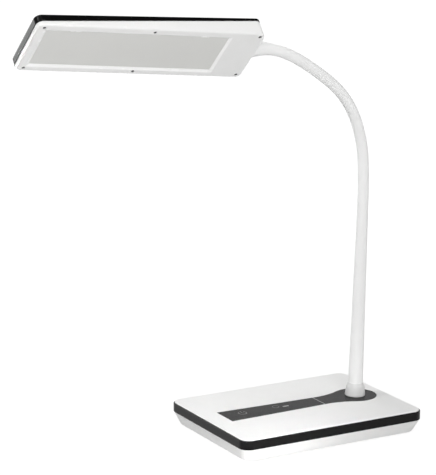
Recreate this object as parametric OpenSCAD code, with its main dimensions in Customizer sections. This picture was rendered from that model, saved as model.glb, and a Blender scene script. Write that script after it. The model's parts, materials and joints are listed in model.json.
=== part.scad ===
// LED desk lamp: a weighted base with a touch panel, a gooseneck and a flat light head.
// The origin is the middle of the base on the table. +X runs along the base towards the neck,
// +Y to the rear with the power inlet, +Z up. Lengths are in millimetres, angles in degrees.
// The rest pose has the head rolled about the end of the neck, with its window to the front.

/* [Base shells] */
// Length of the base along X
base_l = 201; // [180:1:240]
// Width of the base along Y
base_w = 148.5; // [136:0.5:180]
// Corner radius of the black band
base_corner_r = 10.5; // [7:0.5:14]
// Height of the white undershell
undershell_h = 12; // [10:0.5:15]
// How far the undershell draws in at its foot
undershell_inset = 5; // [3:0.5:7]
// Corner radius of the undershell at its foot
undershell_corner_r = 12; // [8:0.5:16]
// Height of the black band
band_h = 8.9; // [8.6:0.1:13]
// Wall of the black band
band_wall = 3; // [2:0.2:4]
// How far the band stands out past the undershell
band_proud = 0.5; // [0.2:0.1:1]
// How far the white cover lies inside the edge of the band
cover_margin = 1.3; // [0.6:0.1:2]
// How far the white cover stands above the band
cover_rise = 1.2; // [1:0.1:2]
// Depth of the cover's locating step inside the band
cover_step = 1.4; // [1:0.1:2]
// Wall of the undershell
shell_wall = 2.2; // [2:0.1:3]
// Thickness of the anti-slip pad
pad_t = 2; // [1:0.5:4]
// Distance from the edge of the base to the pad
pad_margin = 14; // [10:1:24]
// Corner radius of the pad
pad_corner_r = 24; // [20:1:30]

/* [Base inside] */
// Length of the steel ballast plate
weight_l = 150; // [130:1:156]
// Width of the steel ballast plate
weight_w = 92; // [80:1:94]
// Thickness of the steel ballast plate
weight_t = 4.5; // [3:0.5:5.5]
// How far the ballast reaches past the middle of the neck
weight_past = 10.2; // [8:0.2:12]
// Distance of the middle of the ballast from the middle of the base, along Y
weight_y = -8; // [-10:1:-6]
// Corner radius of the steel ballast plate
weight_corner_r = 3; // [2:0.5:6]
// Distance of the corner screws from the edges of the base
base_screw_edge = 14; // [13:0.5:16]
// Radius of the base screws
base_screw_r = 1.5; // [1.2:0.1:2]
// Radius of the base screws' heads
base_screw_head_r = 2.9; // [2.5:0.1:3.4]
// Length of the base screws below the head
base_screw_l = 10; // [8:0.5:12]
// Thickness of the screws' heads in the base
base_screw_head_h = 1; // [0.8:0.1:1.2]
// Width of the slots in the base screws' heads
base_slot_w = 0.6; // [0.4:0.1:0.8]
// Radius of the bosses for the base screws
boss_r = 4; // [3.6:0.2:5]
// Length of the power board
driver_l = 70; // [60:1:80]
// Width of the power board
driver_w = 20; // [19:1:21]
// Thickness of the power board
driver_t = 1.6; // [1.2:0.2:2]
// Distance of the power board from the front of the inlet's body
driver_edge = 3; // [2.5:0.1:4]
// Radius of the board's pillars
pillar_r = 3; // [2.4:0.2:3.6]
// Radius of the pins on the pillars
pillar_pin_r = 1.2; // [0.8:0.1:1.6]
// Thickness of the touch board
touch_board_t = 1.2; // [0.8:0.2:1.6]

/* [Touch panel] */
// Distance from the end of the base to the panel's square end
panel_edge = 20.5; // [18:0.5:30]
// Width of the panel at its square end
panel_end_w = 31; // [26:0.5:36]
// Width of the panel where it starts to widen towards the neck
panel_waist_w = 24; // [20:0.5:28]
// Radius of the round pad of the panel under the neck
panel_round_r = 21.5; // [18:0.5:24]
// Radius of the blend between the waist and the round pad
panel_blend_r = 62; // [40:1:75]
// Thickness of the panel
panel_t = 1.2; // [0.8:0.1:1.6]
// How far the panel stands above the cover
panel_proud = 0.1; // [0:0.05:0.3]

/* [Power inlet] */
// Distance of the inlet from the middle of the base, along X
jack_x = 35; // [20:1:45]
// Radius of the inlet's nose
jack_nose_r = 3.7; // [3.4:0.1:4]
// Radius of the inlet's bore
jack_bore_r = 3; // [2.8:0.1:3.2]
// Radius of the inlet's centre pin
jack_pin_r = 1.05; // [0.6:0.05:1.3]
// Depth of the inlet's bore
jack_depth = 9; // [7:0.5:10]
// How far the pin stops short of the mouth
jack_pin_short = 0.5; // [0.3:0.1:2]
// Width of the inlet's body
jack_w = 9.4; // [8.4:0.2:11]
// Height of the inlet's body
jack_h = 8; // [7.6:0.2:8.6]
// Depth of the inlet's body behind the band
jack_body_l = 12; // [10:0.5:14]

/* [Neck] */
// Distance of the middle of the neck's foot from the end of the base
neck_edge = 31; // [29:0.2:34]
// Diameter of the sleeve at its foot
neck_foot_d = 14.8; // [14:0.2:16]
// Diameter of the sleeve in its upper half
neck_top_d = 10.8; // [10:0.2:12]
// Diameter of the flexible steel core
core_d = 6.4; // [5.8:0.2:6.8]
// Diameter of the bore in the core
core_bore_d = 2.4; // [2.2:0.1:3]
// Diameter of the wire
lead_d = 1.8; // [1.4:0.1:2]
// Length of the fixed lowest section of the neck
first_l = 50; // [40:1:70]
// Length of each middle section of the neck
link_l = 46; // [38:1:54]
// Length of the curved last section of the neck
last_l = 40; // [36:1:50]
// Lean of the neck away from the head, above its lowest section
neck_lean = 1.75; // [0:0.25:4]
// Bend of the section where the neck starts to curve
bend_angle_5 = 4; // [2:0.5:9]
// Bend of the first section of the curve's tight part
bend_angle_6 = 21; // [14:0.5:28]
// Bend of the second section of the curve's tight part
bend_angle_7 = 28.5; // [18:0.5:34]
// Bend of the straighter section above the curve
bend_angle_8 = 8.5; // [2:0.5:12]
// Bend of the last section before the head
bend_angle_9 = 24; // [16:0.5:30]
// Height of the collar round the neck's foot
collar_h = 13; // [9:0.5:18]
// Diameter of the collar at its foot
collar_foot_d = 20; // [18.8:0.2:22]
// Diameter of the collar at its top
collar_top_d = 17.6; // [16.6:0.2:18.4]
// Radius of the stud through the base
stud_r = 4; // [3.5:0.1:5]
// Radius of the stud's flange
stud_flange_r = 6.8; // [5.8:0.1:6.9]
// Thickness of the stud's flange
stud_flange_t = 2.4; // [1.6:0.2:4]
// Radius of the stud's bore for the wire
stud_bore_r = 1.4; // [1.2:0.1:2]
// Thickness of the nut under the ballast
nut_h = 4; // [3:0.2:4.4]
// Radius across the corners of the nut
nut_r = 7.5; // [7:0.1:9]
// Thickness of the washer on the nut
washer_t = 1; // [0.6:0.1:1.4]
// Radius of the washer
washer_r = 8.5; // [8:0.1:11]
// Room for the wire under the stud
stud_room = 2.6; // [2.4:0.1:3.2]
// Radius of the cover's boss round the stud
stud_boss_r = 12; // [10:0.5:14]

/* [Head shells] */
// Length of the head
head_l = 229; // [200:1:270]
// Width of the head
head_w = 65; // [62:0.5:80]
// Corner radius of the head
head_corner_r = 6; // [4:0.5:10]
// Height of the swivel axis above the underside
head_under = 10.1; // [9.4:0.1:10.3]
// Thickness of the head at its tip, up to the edge of the band
tip_t = 11; // [10.6:0.1:14]
// Thickness of the head at the neck, up to the edge of the band
root_t = 18.6; // [18.4:0.1:21]
// Height of the white lower shell at the tip
tip_white = 3.9; // [3.6:0.1:6]
// Height of the white lower shell at the neck
root_white = 15.7; // [14.6:0.1:16.4]
// Draft of the lower shell's sides
head_draft = 0.8; // [0.6:0.1:1.6]
// Radius of the rounded edge of the underside
head_edge_r = 1.6; // [1:0.1:2]
// How far the head's band stands out past the lower shell
head_proud = 0.2; // [0.1:0.05:0.4]
// Wall of the head's shells
head_wall = 1.6; // [1.4:0.1:1.8]
// Floor of the head's lower shell
head_floor = 2; // [1.8:0.1:2.4]
// How far the head's top cover lies inside the edge of the band
head_cover_margin = 1.2; // [0.8:0.1:1.4]
// How far the head's top cover stands above the band
head_cover_rise = 0.8; // [0.5:0.1:1.2]
// Depth of the top cover's locating step inside the band
head_cover_step = 1.2; // [0.8:0.1:1.4]

/* [Light window] */
// Distance of the window from the neck end of the head
win_root = 35; // [34:0.5:40]
// Distance of the window from the tip of the head
win_tip = 11; // [9.5:0.5:14]
// Distance of the window from the long sides of the head
win_side = 9.6; // [9.2:0.1:12]
// Depth of the diffuser's face behind the underside
win_recess = 1.6; // [1.4:0.1:1.8]
// Width of the bevel round the window
bevel_w = 2.4; // [1:0.1:2.6]
// Depth of the bevel round the window
bevel_d = 1.3; // [0.8:0.1:1.3]
// Width of the ledge round the window
win_ledge = 2; // [1.4:0.1:2.4]
// Thickness of the diffuser
diffuser_t = 2; // [1.6:0.1:2.2]
// Height of the reflector tray
tray_h = 3; // [2.6:0.1:3.2]
// Wall of the reflector tray
tray_wall = 1.6; // [1.2:0.1:2]
// Thickness of the light board
board_t = 1.2; // [0.8:0.1:1.4]
// Number of light sources along the board
led_cols = 14; // [8:1:18]
// Number of rows of light sources
led_rows = 3; // [2:1:4]
// Length of one light source
led_l = 3.5; // [2.4:0.1:5]
// Width of one light source
led_w = 2.8; // [2:0.1:4]
// Height of one light source
led_h = 0.7; // [0.5:0.1:1.2]

/* [Head screws and swivel] */
// Distance of the head screws from the long sides
head_screw_side = 5.1; // [4.4:0.1:5.4]
// Distance of the end screws from the neck end
head_screw_root = 5; // [4.8:0.1:6]
// Distance of the end screws from the tip
head_screw_tip = 7.5; // [6:0.1:8]
// Radius of the head screws
head_screw_r = 0.9; // [0.7:0.05:1]
// Radius of the head screws' heads
head_screw_head_r = 1.6; // [1.4:0.05:1.7]
// Thickness of the head screws' heads
head_screw_head_h = 0.7; // [0.5:0.05:0.8]
// How far the head screws' heads lie below the underside
head_screw_sink = 0.4; // [0.2:0.05:0.5]
// Length of the head screws below the head
head_screw_l = 6; // [5:0.5:7]
// Radius of the screw bosses in the head
head_boss_r = 1.9; // [1.7:0.05:2.2]
// Length of the ferrule between the neck and the head
ferrule_l = 14; // [10:0.5:20]
// How far the ferrule flares out where it meets the head
ferrule_flare = 3.4; // [2:0.1:3.6]
// Length of the flare along the ferrule
ferrule_flare_l = 8; // [4:0.5:9]
// Radius of the spigot that the head turns on
spigot_r = 4; // [3.6:0.05:4.2]
// Radius of the spigot's end under the keeper ring
spigot_end_r = 3.3; // [3:0.05:3.4]
// Length of the swivel block along the spigot
block_l = 18; // [14:0.5:20]
// Half width of the swivel block
block_half_w = 11; // [10.8:0.1:12]
// Height of the swivel strap above the spigot's axis
strap_h = 5.2; // [5:0.1:5.4]
// Length of the keeper ring
keeper_l = 4; // [3:0.2:5]
// Radius of the keeper ring
keeper_r = 5; // [4.6:0.1:5.2]
// Reach of the stop tab from the spigot's axis
stop_reach = 6; // [5.8:0.1:6.2]
// Half width of the stop tab
stop_half_w = 1.5; // [1.2:0.1:1.7]
// Roll of the head at rest, with its window turned to the front
head_roll = 46; // [0:1:58]
// Roll of the head to either side at its stops
head_roll_limit = 60; // [58:1:62]
// Distance of the strap's screws from the spigot's axis
strap_screw_y = 7.8; // [7.4:0.1:8]
// Radius of the strap's screws
strap_screw_r = 1.25; // [1:0.05:1.4]

/* [Fits] */
// Clearance between seated pieces
fit = 0.15; // [0.1:0.05:0.25]
// Running clearance of the spigot in its bearing
running = 0.05; // [0.03:0.01:0.1]
// Gap between sections of the neck
joint_gap = 0.3; // [0.25:0.05:0.4]
// Gap between the head and the pieces of the neck beside it
swivel_gap = 0.3; // [0.2:0.05:0.5]

/* [Hidden] */
$fn = 64;
// Corners of the drafted shells are drawn with fewer steps
shell_fn = 40;
// Thickness of the slabs that a drafted shell is stretched between
slab_t = 0.02;
// Extra length of a cutting tool past the face it cuts
over = 1;
// Small step where a rounded end meets its section of the neck
seam = 0.03;
// Steps in a full turn of the neck's long curves
curve_fn = 480;
// Steps along each wide blend of the panel, and along each half of its round pad
blend_steps = 12;
round_steps = 24;
// Smallest corner radius that an outline is drawn in to
least_corner_r = 1;

// Heights in the base
z_floor = pad_t + shell_wall;
z_split = pad_t + undershell_h;
z_band = z_split + band_h;
z_top = z_band + cover_rise;
z_under = z_band - cover_step;
z_panel = z_top + panel_proud;
z_stud = z_floor + stud_room;
z_weight = z_stud + nut_h + washer_t;
z_weight_top = z_weight + weight_t;
z_jack = (z_split + z_band) / 2;
z_driver = z_jack - jack_h / 2 - driver_t;

// Places along the base
neck_x = base_l / 2 - neck_edge;
panel_end_x = base_l / 2 - panel_edge;
weight_x = neck_x + weight_past - weight_l / 2;

// Inside of the black band
band_in_l = base_l - 2 * band_wall;
band_in_w = base_w - 2 * band_wall;
band_in_r = max(base_corner_r - band_wall, least_corner_r);

// Corner screws of the base
base_screw_x = base_l / 2 - base_screw_edge;
base_screw_y = base_w / 2 - base_screw_edge;
base_screw_seat = pad_t + base_screw_head_h;

// Power board and inlet
jack_back = base_w / 2 - band_wall - fit - jack_body_l;
jack_front = base_w / 2 - band_wall - fit;
driver_y = jack_front - driver_edge - driver_w / 2;
driver_x = jack_x - driver_l / 4;
pillar_spread_x = driver_l / 2 - pillar_r;
pillar_spread_y = driver_w / 2 - pillar_r;

// Wire in the base: its height over the floor and its end under the power board
z_lead = z_floor + lead_d / 2 + 2 * fit;
lead_end_x = driver_x + pillar_spread_x / 2;
lead_end_y = driver_y - driver_w / 2 + pillar_spread_y / 2;

// Middle of the arc that blends the panel's straight side into its round pad
panel_half = panel_waist_w / 2;
panel_blend_x = neck_x - sqrt(pow(panel_blend_r + panel_round_r, 2) - pow(panel_blend_r + panel_half, 2));
panel_blend_y = panel_half + panel_blend_r;

// Sections of the neck, the lowest first
links = 9;
link_bends = [0, 0, 0, 0, bend_angle_5, bend_angle_6, bend_angle_7, bend_angle_8, bend_angle_9];
core_r = core_d / 2;
core_bore_r = core_bore_d / 2;
lead_r = lead_d / 2;
taper_links = 3;
taper_l = first_l + taper_links * link_l;

function bend_of(k) = link_bends[k - 1];
function length_of(k) = k == 1 ? first_l : k == links ? last_l : link_l;
function start_s(k) = k == 1 ? 0 : start_s(k - 1) + length_of(k - 1);
function sleeve_r(s) = (neck_foot_d + (neck_top_d - neck_foot_d) * min(s / taper_l, 1)) / 2;
// Direction of the neck at the start of a section, in degrees from +X towards +Z
function start_dir(k) = k == 1 ? 90 : k == 2 ? 90 - neck_lean : start_dir(k - 1) + bend_of(k - 1);
function bend_radius(k) = length_of(k) * 180 / (PI * bend_of(k));
function chord(k) = bend_of(k) == 0 ? length_of(k) : 2 * bend_radius(k) * sin(bend_of(k) / 2);
function start_at(k) = k == 1 ? [neck_x, z_panel] : end_at(k - 1);
function end_at(k) = start_at(k)
    + chord(k) * [cos(start_dir(k) + bend_of(k) / 2), sin(start_dir(k) + bend_of(k) / 2)];

// End of the neck: the head's end face lies one ferrule length past the last section
end_dir = start_dir(links) + bend_of(links);
head_pitch = 180 - end_dir;
head_at = end_at(links) + ferrule_l * [cos(end_dir), sin(end_dir)];

// Heights in the head, from the swivel axis
z_head_floor = -head_under + head_floor;
z_diffuser = -head_under + win_recess;
z_tray = z_diffuser + diffuser_t;
z_board = z_tray + tray_h;
z_board_top = z_board + board_t;
head_high = root_t - head_under + over;

// Window and what fills it
win_l = head_l - win_root - win_tip;
win_w = head_w - 2 * win_side;
win_x = -win_root - win_l / 2;
stack_l = win_l + 2 * win_ledge;
stack_w = win_w + 2 * win_ledge;
board_screw_in = 4;

// Screws of the head
head_screw_xs = [
    -head_screw_root,
    -(head_screw_root + head_l - head_screw_tip) / 2,
    -(head_l - head_screw_tip)
];
head_screw_y = head_w / 2 - head_screw_side;
head_screw_seat = -head_under + head_screw_sink + head_screw_head_h;

// Swivel
block_front = -head_proud - head_wall - fit;
block_back = block_front - block_l;
keeper_front = block_back - swivel_gap;
keeper_back = keeper_front - keeper_l;
stop_post_top = keeper_r * cos(head_roll_limit) - stop_half_w * sin(head_roll_limit) - swivel_gap;
strap_screw_x = (block_front + block_back) / 2;

white = [0.93, 0.93, 0.92];
shade_white = [0.86, 0.86, 0.85];
black = [0.05, 0.05, 0.05];
smoke = [0.30, 0.30, 0.31];
steel = [0.62, 0.63, 0.65];
brass = [0.78, 0.62, 0.30];
board_green = [0.10, 0.35, 0.22];
opal = [0.80, 0.80, 0.78];
rubber = [0.20, 0.20, 0.21];
wire_red = [0.65, 0.12, 0.10];

// Outline with round corners, about its middle
module rounded_rect(l, w, r) {
    square([l - 2 * r, w], center = true);
    square([l, w - 2 * r], center = true);
    for (sx = [-1, 1], sy = [-1, 1])
        translate([sx * (l / 2 - r), sy * (w / 2 - r)]) circle(r);
}

// Thin slab of an outline at a height, for stretching drafted shells between
module slab(l, w, r, z) {
    translate([0, 0, z]) linear_extrude(slab_t) rounded_rect(l, w, r, $fn = shell_fn);
}

// Slab of the base's outline, drawn in all round
module base_slab(inset, z) {
    slab(base_l - 2 * inset, base_w - 2 * inset, max(base_corner_r - inset, least_corner_r), z);
}

// Slab of the undershell's foot, drawn in all round
module foot_slab(inset, z) {
    in = undershell_inset + inset;
    slab(base_l - 2 * in, base_w - 2 * in, max(undershell_corner_r - inset, least_corner_r), z);
}

// Plate between two heights
module plate(l, w, r, z0, z1) {
    translate([0, 0, z0]) linear_extrude(z1 - z0) rounded_rect(l, w, r);
}

// Upright rod between two heights
module rod(r, z0, z1) {
    translate([0, 0, z0]) cylinder(h = z1 - z0, r = r);
}

// Rod along X between two places
module rod_x(r, x0, x1) {
    translate([x0, 0, 0]) rotate([0, 90, 0]) cylinder(h = x1 - x0, r = r);
}

// Box between two corners
module box(low, high) {
    translate(low) cube(high - low);
}

module at_base_screws() {
    for (sx = [-1, 1], sy = [-1, 1])
        translate([sx * base_screw_x, sy * base_screw_y, 0]) children();
}

module at_pillars() {
    for (sx = [-1, 1], sy = [-1, 1])
        translate([driver_x + sx * pillar_spread_x, driver_y + sy * pillar_spread_y, 0]) children();
}

// Points along an arc, from one angle to another
function arc_points(middle, r, from, to, steps, first) = [
    for (i = [first : steps])
        middle + r * [cos(from + (to - from) * i / steps), sin(from + (to - from) * i / steps)]
];

// Outline of the touch panel: a strip that narrows, blends out and ends round under the neck
module panel_outline(grow) {
    touch_dir = atan2(-panel_blend_y, neck_x - panel_blend_x);
    upper = concat(
        [[-panel_end_x - grow, panel_end_w / 2 + grow]],
        arc_points([panel_blend_x, panel_blend_y], panel_blend_r - grow, -90, touch_dir, blend_steps, 0),
        arc_points([neck_x, 0], panel_round_r + grow, touch_dir + 180, 0, round_steps, 1)
    );
    lower = [for (i = [len(upper) - 2 : -1 : 0]) [upper[i][0], -upper[i][1]]];
    polygon(concat(upper, lower));
}

module base_top_cover() {
    color(white)
        difference() {
            union() {
                hull() {
                    base_slab(cover_margin, z_band);
                    base_slab(cover_margin + cover_rise, z_top - slab_t);
                }
                plate(band_in_l - 2 * fit, band_in_w - 2 * fit, band_in_r, z_under, z_band + slab_t);
                at_base_screws() rod(boss_r, z_floor, z_under + over);
                translate([neck_x, 0, 0]) rod(stud_boss_r, z_weight_top, z_under + over);
            }
            translate([0, 0, z_panel - panel_t]) linear_extrude(panel_t + over) panel_outline(fit);
            translate([neck_x, 0, 0]) rod(stud_r + fit, z_weight_top - over, z_top);
            at_base_screws() rod(base_screw_r + fit, z_floor - over, z_floor + base_screw_l);
            translate([jack_x, 0, z_jack])
                box(
                    [-jack_w / 2 - fit, jack_back - fit, -jack_h],
                    [jack_w / 2 + fit, jack_front + fit, jack_h / 2 + fit]
                );
        }
}

module base_band() {
    color(black)
        difference() {
            plate(base_l, base_w, base_corner_r, z_split, z_band);
            plate(band_in_l, band_in_w, band_in_r, z_split - over, z_band + over);
            translate([jack_x, base_w / 2 - band_wall - over, z_jack]) rotate([-90, 0, 0])
                cylinder(h = band_wall + 2 * over, r = jack_nose_r + fit);
        }
}

module base_bottom_shell() {
    rib_w = 3;
    rib_short = 20;
    rib_inset = 8;
    rib_l = weight_l - 2 * rib_short;
    color(shade_white) {
        difference() {
            union() {
                difference() {
                    hull() {
                        foot_slab(0, pad_t);
                        base_slab(band_proud, z_split - slab_t);
                    }
                    hull() {
                        foot_slab(shell_wall, z_floor);
                        base_slab(band_proud + shell_wall, z_split + over);
                    }
                }
                difference() {
                    for (side = [-1, 1])
                        translate([weight_x, weight_y + side * (weight_w / 2 - rib_inset), 0])
                            box(
                                [-rib_l / 2, -rib_w / 2, pad_t + shell_wall / 2],
                                [rib_l / 2, rib_w / 2, z_weight]
                            );
                    base_lead_run(lead_r + fit);
                }
                at_pillars() rod(pillar_r, pad_t + shell_wall / 2, z_driver);
                at_pillars() rod(pillar_pin_r, z_driver - over, z_driver + driver_t + over);
            }
            at_base_screws() rod(base_screw_r + fit, pad_t - over, z_floor + over);
            at_base_screws() rod(base_screw_head_r + fit, pad_t - over, base_screw_seat);
        }
    }
}

module base_weight() {
    color(steel)
        difference() {
            translate([weight_x, weight_y, 0])
                plate(weight_l, weight_w, weight_corner_r, z_weight, z_weight_top);
            translate([neck_x, 0, 0]) rod(stud_r + fit, z_weight - over, z_weight_top + over);
        }
}

module base_pad() {
    color(rubber) plate(base_l - 2 * pad_margin, base_w - 2 * pad_margin, pad_corner_r, 0, pad_t);
}

module base_screws() {
    color(steel)
        at_base_screws() {
            difference() {
                rod(base_screw_head_r, pad_t, base_screw_seat);
                for (turn = [0, 90])
                    rotate([0, 0, turn])
                        box(
                            [-base_screw_r, -base_slot_w / 2, pad_t - over],
                            [base_screw_r, base_slot_w / 2, pad_t + base_screw_head_h / 2]
                        );
            }
            rod(base_screw_r, base_screw_seat - base_screw_head_h / 4, base_screw_seat + base_screw_l);
        }
}

module touch_panel() {
    color(smoke)
        difference() {
            translate([0, 0, z_panel - panel_t]) linear_extrude(panel_t) panel_outline(0);
            translate([neck_x, 0, 0]) rod(stud_r + fit, z_under, z_panel + over);
        }
}

module touch_board() {
    board_gap = 4;
    color(board_green)
        box(
            [-panel_end_x, -panel_waist_w / 2 + fit, z_under - touch_board_t],
            [neck_x - stud_boss_r - board_gap, panel_waist_w / 2 - fit, z_under]
        );
}

module driver_board() {
    color(board_green)
        difference() {
            translate([driver_x, driver_y, 0])
                box(
                    [-driver_l / 2, -driver_w / 2, z_driver],
                    [driver_l / 2, driver_w / 2, z_driver + driver_t]
                );
            at_pillars() rod(pillar_pin_r + fit, z_driver - over, z_driver + driver_t + over);
        }
}

// Coil, two capacitors and the regulator chip, in a row beside the inlet
module driver_parts() {
    board_top = z_driver + driver_t;
    coil_r = 4.5;
    coil_h = 4;
    cap_r = 3;
    cap_h = 5;
    chip_l = 6;
    chip_w = 5;
    chip_h = 1.5;
    step = 11;
    first_x = jack_x - jack_w / 2 - step;
    color([0.25, 0.25, 0.28])
        translate([first_x, driver_y, 0]) rod(coil_r, board_top, board_top + coil_h);
    for (n = [1, 2])
        color([0.15, 0.20, 0.45])
            translate([first_x - n * step, driver_y, 0]) rod(cap_r, board_top, board_top + cap_h);
    color(black)
        translate([first_x - 3 * step, driver_y, board_top])
            box([-chip_l / 2, -chip_w / 2, 0], [chip_l / 2, chip_w / 2, chip_h]);
}

module dc_jack() {
    mouth = base_w / 2;
    bore_end = mouth - jack_depth;
    color(black)
        translate([jack_x, 0, z_jack]) {
            difference() {
                union() {
                    box([-jack_w / 2, jack_back, -jack_h / 2], [jack_w / 2, jack_front, jack_h / 2]);
                    translate([0, jack_front - over, 0]) rotate([-90, 0, 0])
                        cylinder(h = mouth - jack_front + over, r = jack_nose_r);
                }
                translate([0, bore_end, 0]) rotate([-90, 0, 0])
                    cylinder(h = jack_depth + over, r = jack_bore_r);
            }
            translate([0, bore_end - over, 0]) rotate([-90, 0, 0])
                cylinder(h = jack_depth + over - jack_pin_short, r = jack_pin_r);
        }
}

// Straight run of the wire along the floor of the base, from under the stud to the power board
module base_lead_run(r) {
    run = [lead_end_x - neck_x, lead_end_y];
    translate([neck_x, 0, z_lead]) rotate([0, 90, atan2(run[1], run[0])]) rod(r, 0, norm(run));
}

module base_lead() {
    color(wire_red) {
        base_lead_run(lead_r);
        translate([neck_x, 0, z_lead]) sphere(lead_r + seam);
        translate([neck_x, 0, 0]) rod(lead_r, z_lead, z_stud - fit);
        translate([lead_end_x, lead_end_y, z_lead]) sphere(lead_r + seam);
        translate([lead_end_x, lead_end_y, 0]) rod(lead_r, z_lead, z_driver - fit);
    }
}

module neck_collar() {
    soft = 1;
    color(white)
        translate([neck_x, 0, z_panel])
            difference() {
                union() {
                    cylinder(h = collar_h - soft, r1 = collar_foot_d / 2, r2 = collar_top_d / 2);
                    translate([0, 0, collar_h - soft])
                        cylinder(h = soft, r1 = collar_top_d / 2, r2 = collar_top_d / 2 - soft / 2);
                }
                translate([0, 0, -over])
                    cylinder(
                        h = collar_h + 2 * over,
                        r1 = sleeve_r(-over) + fit, r2 = sleeve_r(collar_h + over) + fit
                    );
            }
}

module neck_stud() {
    color(steel)
        translate([neck_x, 0, 0])
            difference() {
                union() {
                    rod(stud_r, z_stud, z_panel + over);
                    rod(stud_flange_r, z_panel, z_panel + stud_flange_t);
                }
                rod(stud_bore_r, z_stud - over, z_panel + stud_flange_t + over);
            }
}

module neck_washer() {
    color(steel)
        translate([neck_x, 0, 0])
            difference() {
                rod(washer_r, z_weight - washer_t, z_weight);
                rod(stud_r + fit, z_stud, z_weight + over);
            }
}

module neck_nut() {
    color(steel)
        translate([neck_x, 0, 0])
            difference() {
                translate([0, 0, z_stud]) cylinder(h = nut_h, r = nut_r, $fn = 6);
                rod(stud_r + fit, z_stud - over, z_weight);
            }
}

// Places a shape at the start of a section of the neck, with +Z along the neck
module at_link(k) {
    translate([start_at(k)[0], 0, start_at(k)[1]]) rotate([0, 90 - start_dir(k), 0]) children();
}

// Places a shape at the end of a section, seen from its start
module at_link_end(k) {
    bend = bend_of(k);
    turn_x = bend == 0 ? 0 : -bend_radius(k) * (1 - cos(bend));
    turn_z = bend == 0 ? length_of(k) : bend_radius(k) * sin(bend);
    translate([turn_x, 0, turn_z]) rotate([0, -bend, 0]) children();
}

// A section of the neck at one radius, or tapering where it is straight
module link_tube(k, r0, r1) {
    if (bend_of(k) == 0)
        cylinder(h = length_of(k), r1 = r0, r2 = r1);
    else
        translate([-bend_radius(k), 0, 0]) rotate([90, 0, 0])
            rotate_extrude(angle = bend_of(k), $fn = curve_fn)
                translate([bend_radius(k), 0]) circle(r1, $fn = shell_fn);
}

// Rod inside a section that ends flush with its round end and starts flush with its cup
module link_core(k, r) {
    end_r = sleeve_r(start_s(k) + length_of(k)) - seam;
    difference() {
        union() {
            link_tube(k, r, r);
            if (k < links)
                at_link_end(k)
                    intersection() {
                        rod(r - seam, -over, end_r);
                        sphere(end_r);
                    }
        }
        link_cup(k);
    }
}

// Cup at the start of a section, or the flat seat of the lowest one on the stud
module link_cup(k) {
    if (k == 1)
        rod(neck_foot_d, -over, stud_flange_t);
    else
        sphere(sleeve_r(start_s(k)) + joint_gap);
}

// Bore along a section
module link_bore(k, r) {
    link_tube(k, r, r);
    at_link_end(k) rod(r + seam, -fit, neck_foot_d);
}

module neck_sleeve(k) {
    start_r = sleeve_r(start_s(k));
    end_r = sleeve_r(start_s(k) + length_of(k));
    color(white)
        at_link(k)
            difference() {
                union() {
                    link_tube(k, start_r, end_r);
                    if (k < links) at_link_end(k) sphere(end_r - seam);
                }
                link_cup(k);
                link_bore(k, core_r + fit);
            }
}

module neck_core(k) {
    color(steel)
        at_link(k)
            difference() {
                link_core(k, core_r);
                link_bore(k, core_bore_r);
            }
}

module neck_lead(k) {
    color(wire_red) {
        at_link(k) link_core(k, lead_r);
        if (k == 1) translate([neck_x, 0, 0]) rod(lead_r - seam, z_stud, z_panel + stud_flange_t + over);
        if (k == links) at_neck_end() rod_x(lead_r - seam, keeper_back, ferrule_l + over);
    }
}

// The head's end of the neck: +X runs back along the neck from the head's end face
module at_neck_end() {
    translate([head_at[0], 0, head_at[1]]) rotate([0, head_pitch, 0]) children();
}

// The head, rolled about the end of the neck
module at_head() {
    at_neck_end() rotate([-head_roll, 0, 0]) children();
}

module neck_ferrule() {
    outer_r = neck_top_d / 2;
    flare = [
        for (turn = [0 : 10 : 90])
            [outer_r + ferrule_flare * (1 - sin(turn)), swivel_gap + ferrule_flare_l * (1 - cos(turn))]
    ];
    color(white)
        at_neck_end() rotate([0, 90, 0])
            difference() {
                rotate_extrude()
                    polygon(concat([[0, ferrule_l], [0, swivel_gap]], flare, [[outer_r, ferrule_l]]));
                rod(spigot_r + fit, 0, ferrule_l + over);
            }
}

module swivel_spigot() {
    color(steel)
        at_neck_end()
            difference() {
                union() {
                    rod_x(spigot_r, keeper_front, ferrule_l);
                    rod_x(spigot_end_r, keeper_back, keeper_front + over);
                }
                rod_x(core_bore_r, keeper_back - over, ferrule_l + over);
            }
}

module swivel_stop() {
    color(brass)
        at_neck_end()
            difference() {
                union() {
                    rod_x(keeper_r, keeper_back, keeper_front);
                    box([keeper_back, -stop_half_w, 0], [keeper_front, stop_half_w, stop_reach]);
                }
                rod_x(spigot_end_r + fit, keeper_back - over, keeper_front + over);
            }
}

// Half space above the slanting plane through a height at the tip and a height at the neck
module above(tip_h, root_h) {
    translate([0, 0, root_h - head_under]) rotate([0, -atan((root_h - tip_h) / head_l), 0])
        box([-2 * head_l, -head_w, 0], [head_l, head_w, 3 * root_t]);
}

// Slab of the lower shell's outline: its neck end stays upright while the other sides draft in
module head_slab(inset, draw, z) {
    l = head_l - 2 * inset - draw;
    translate([-head_l / 2 + draw / 2, 0, 0])
        slab(l, head_w - 2 * inset - 2 * draw, max(head_corner_r - inset - draw / 2, least_corner_r), z);
}

// Room inside the lower shell, above its floor
module head_inside(gap) {
    hull() {
        head_slab(head_proud + head_wall + gap, head_draft, z_head_floor);
        head_slab(head_proud + head_wall + gap, 0, head_high + over);
    }
}

// Slab of the window's outline, grown all round
module window_slab(grow, z) {
    translate([win_x - win_l / 2 - grow, -win_w / 2 - grow, z])
        cube([win_l + 2 * grow, win_w + 2 * grow, slab_t]);
}

module at_head_screws() {
    for (x = head_screw_xs, side = [-1, 1])
        translate([x, side * head_screw_y, 0]) children();
}

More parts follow.
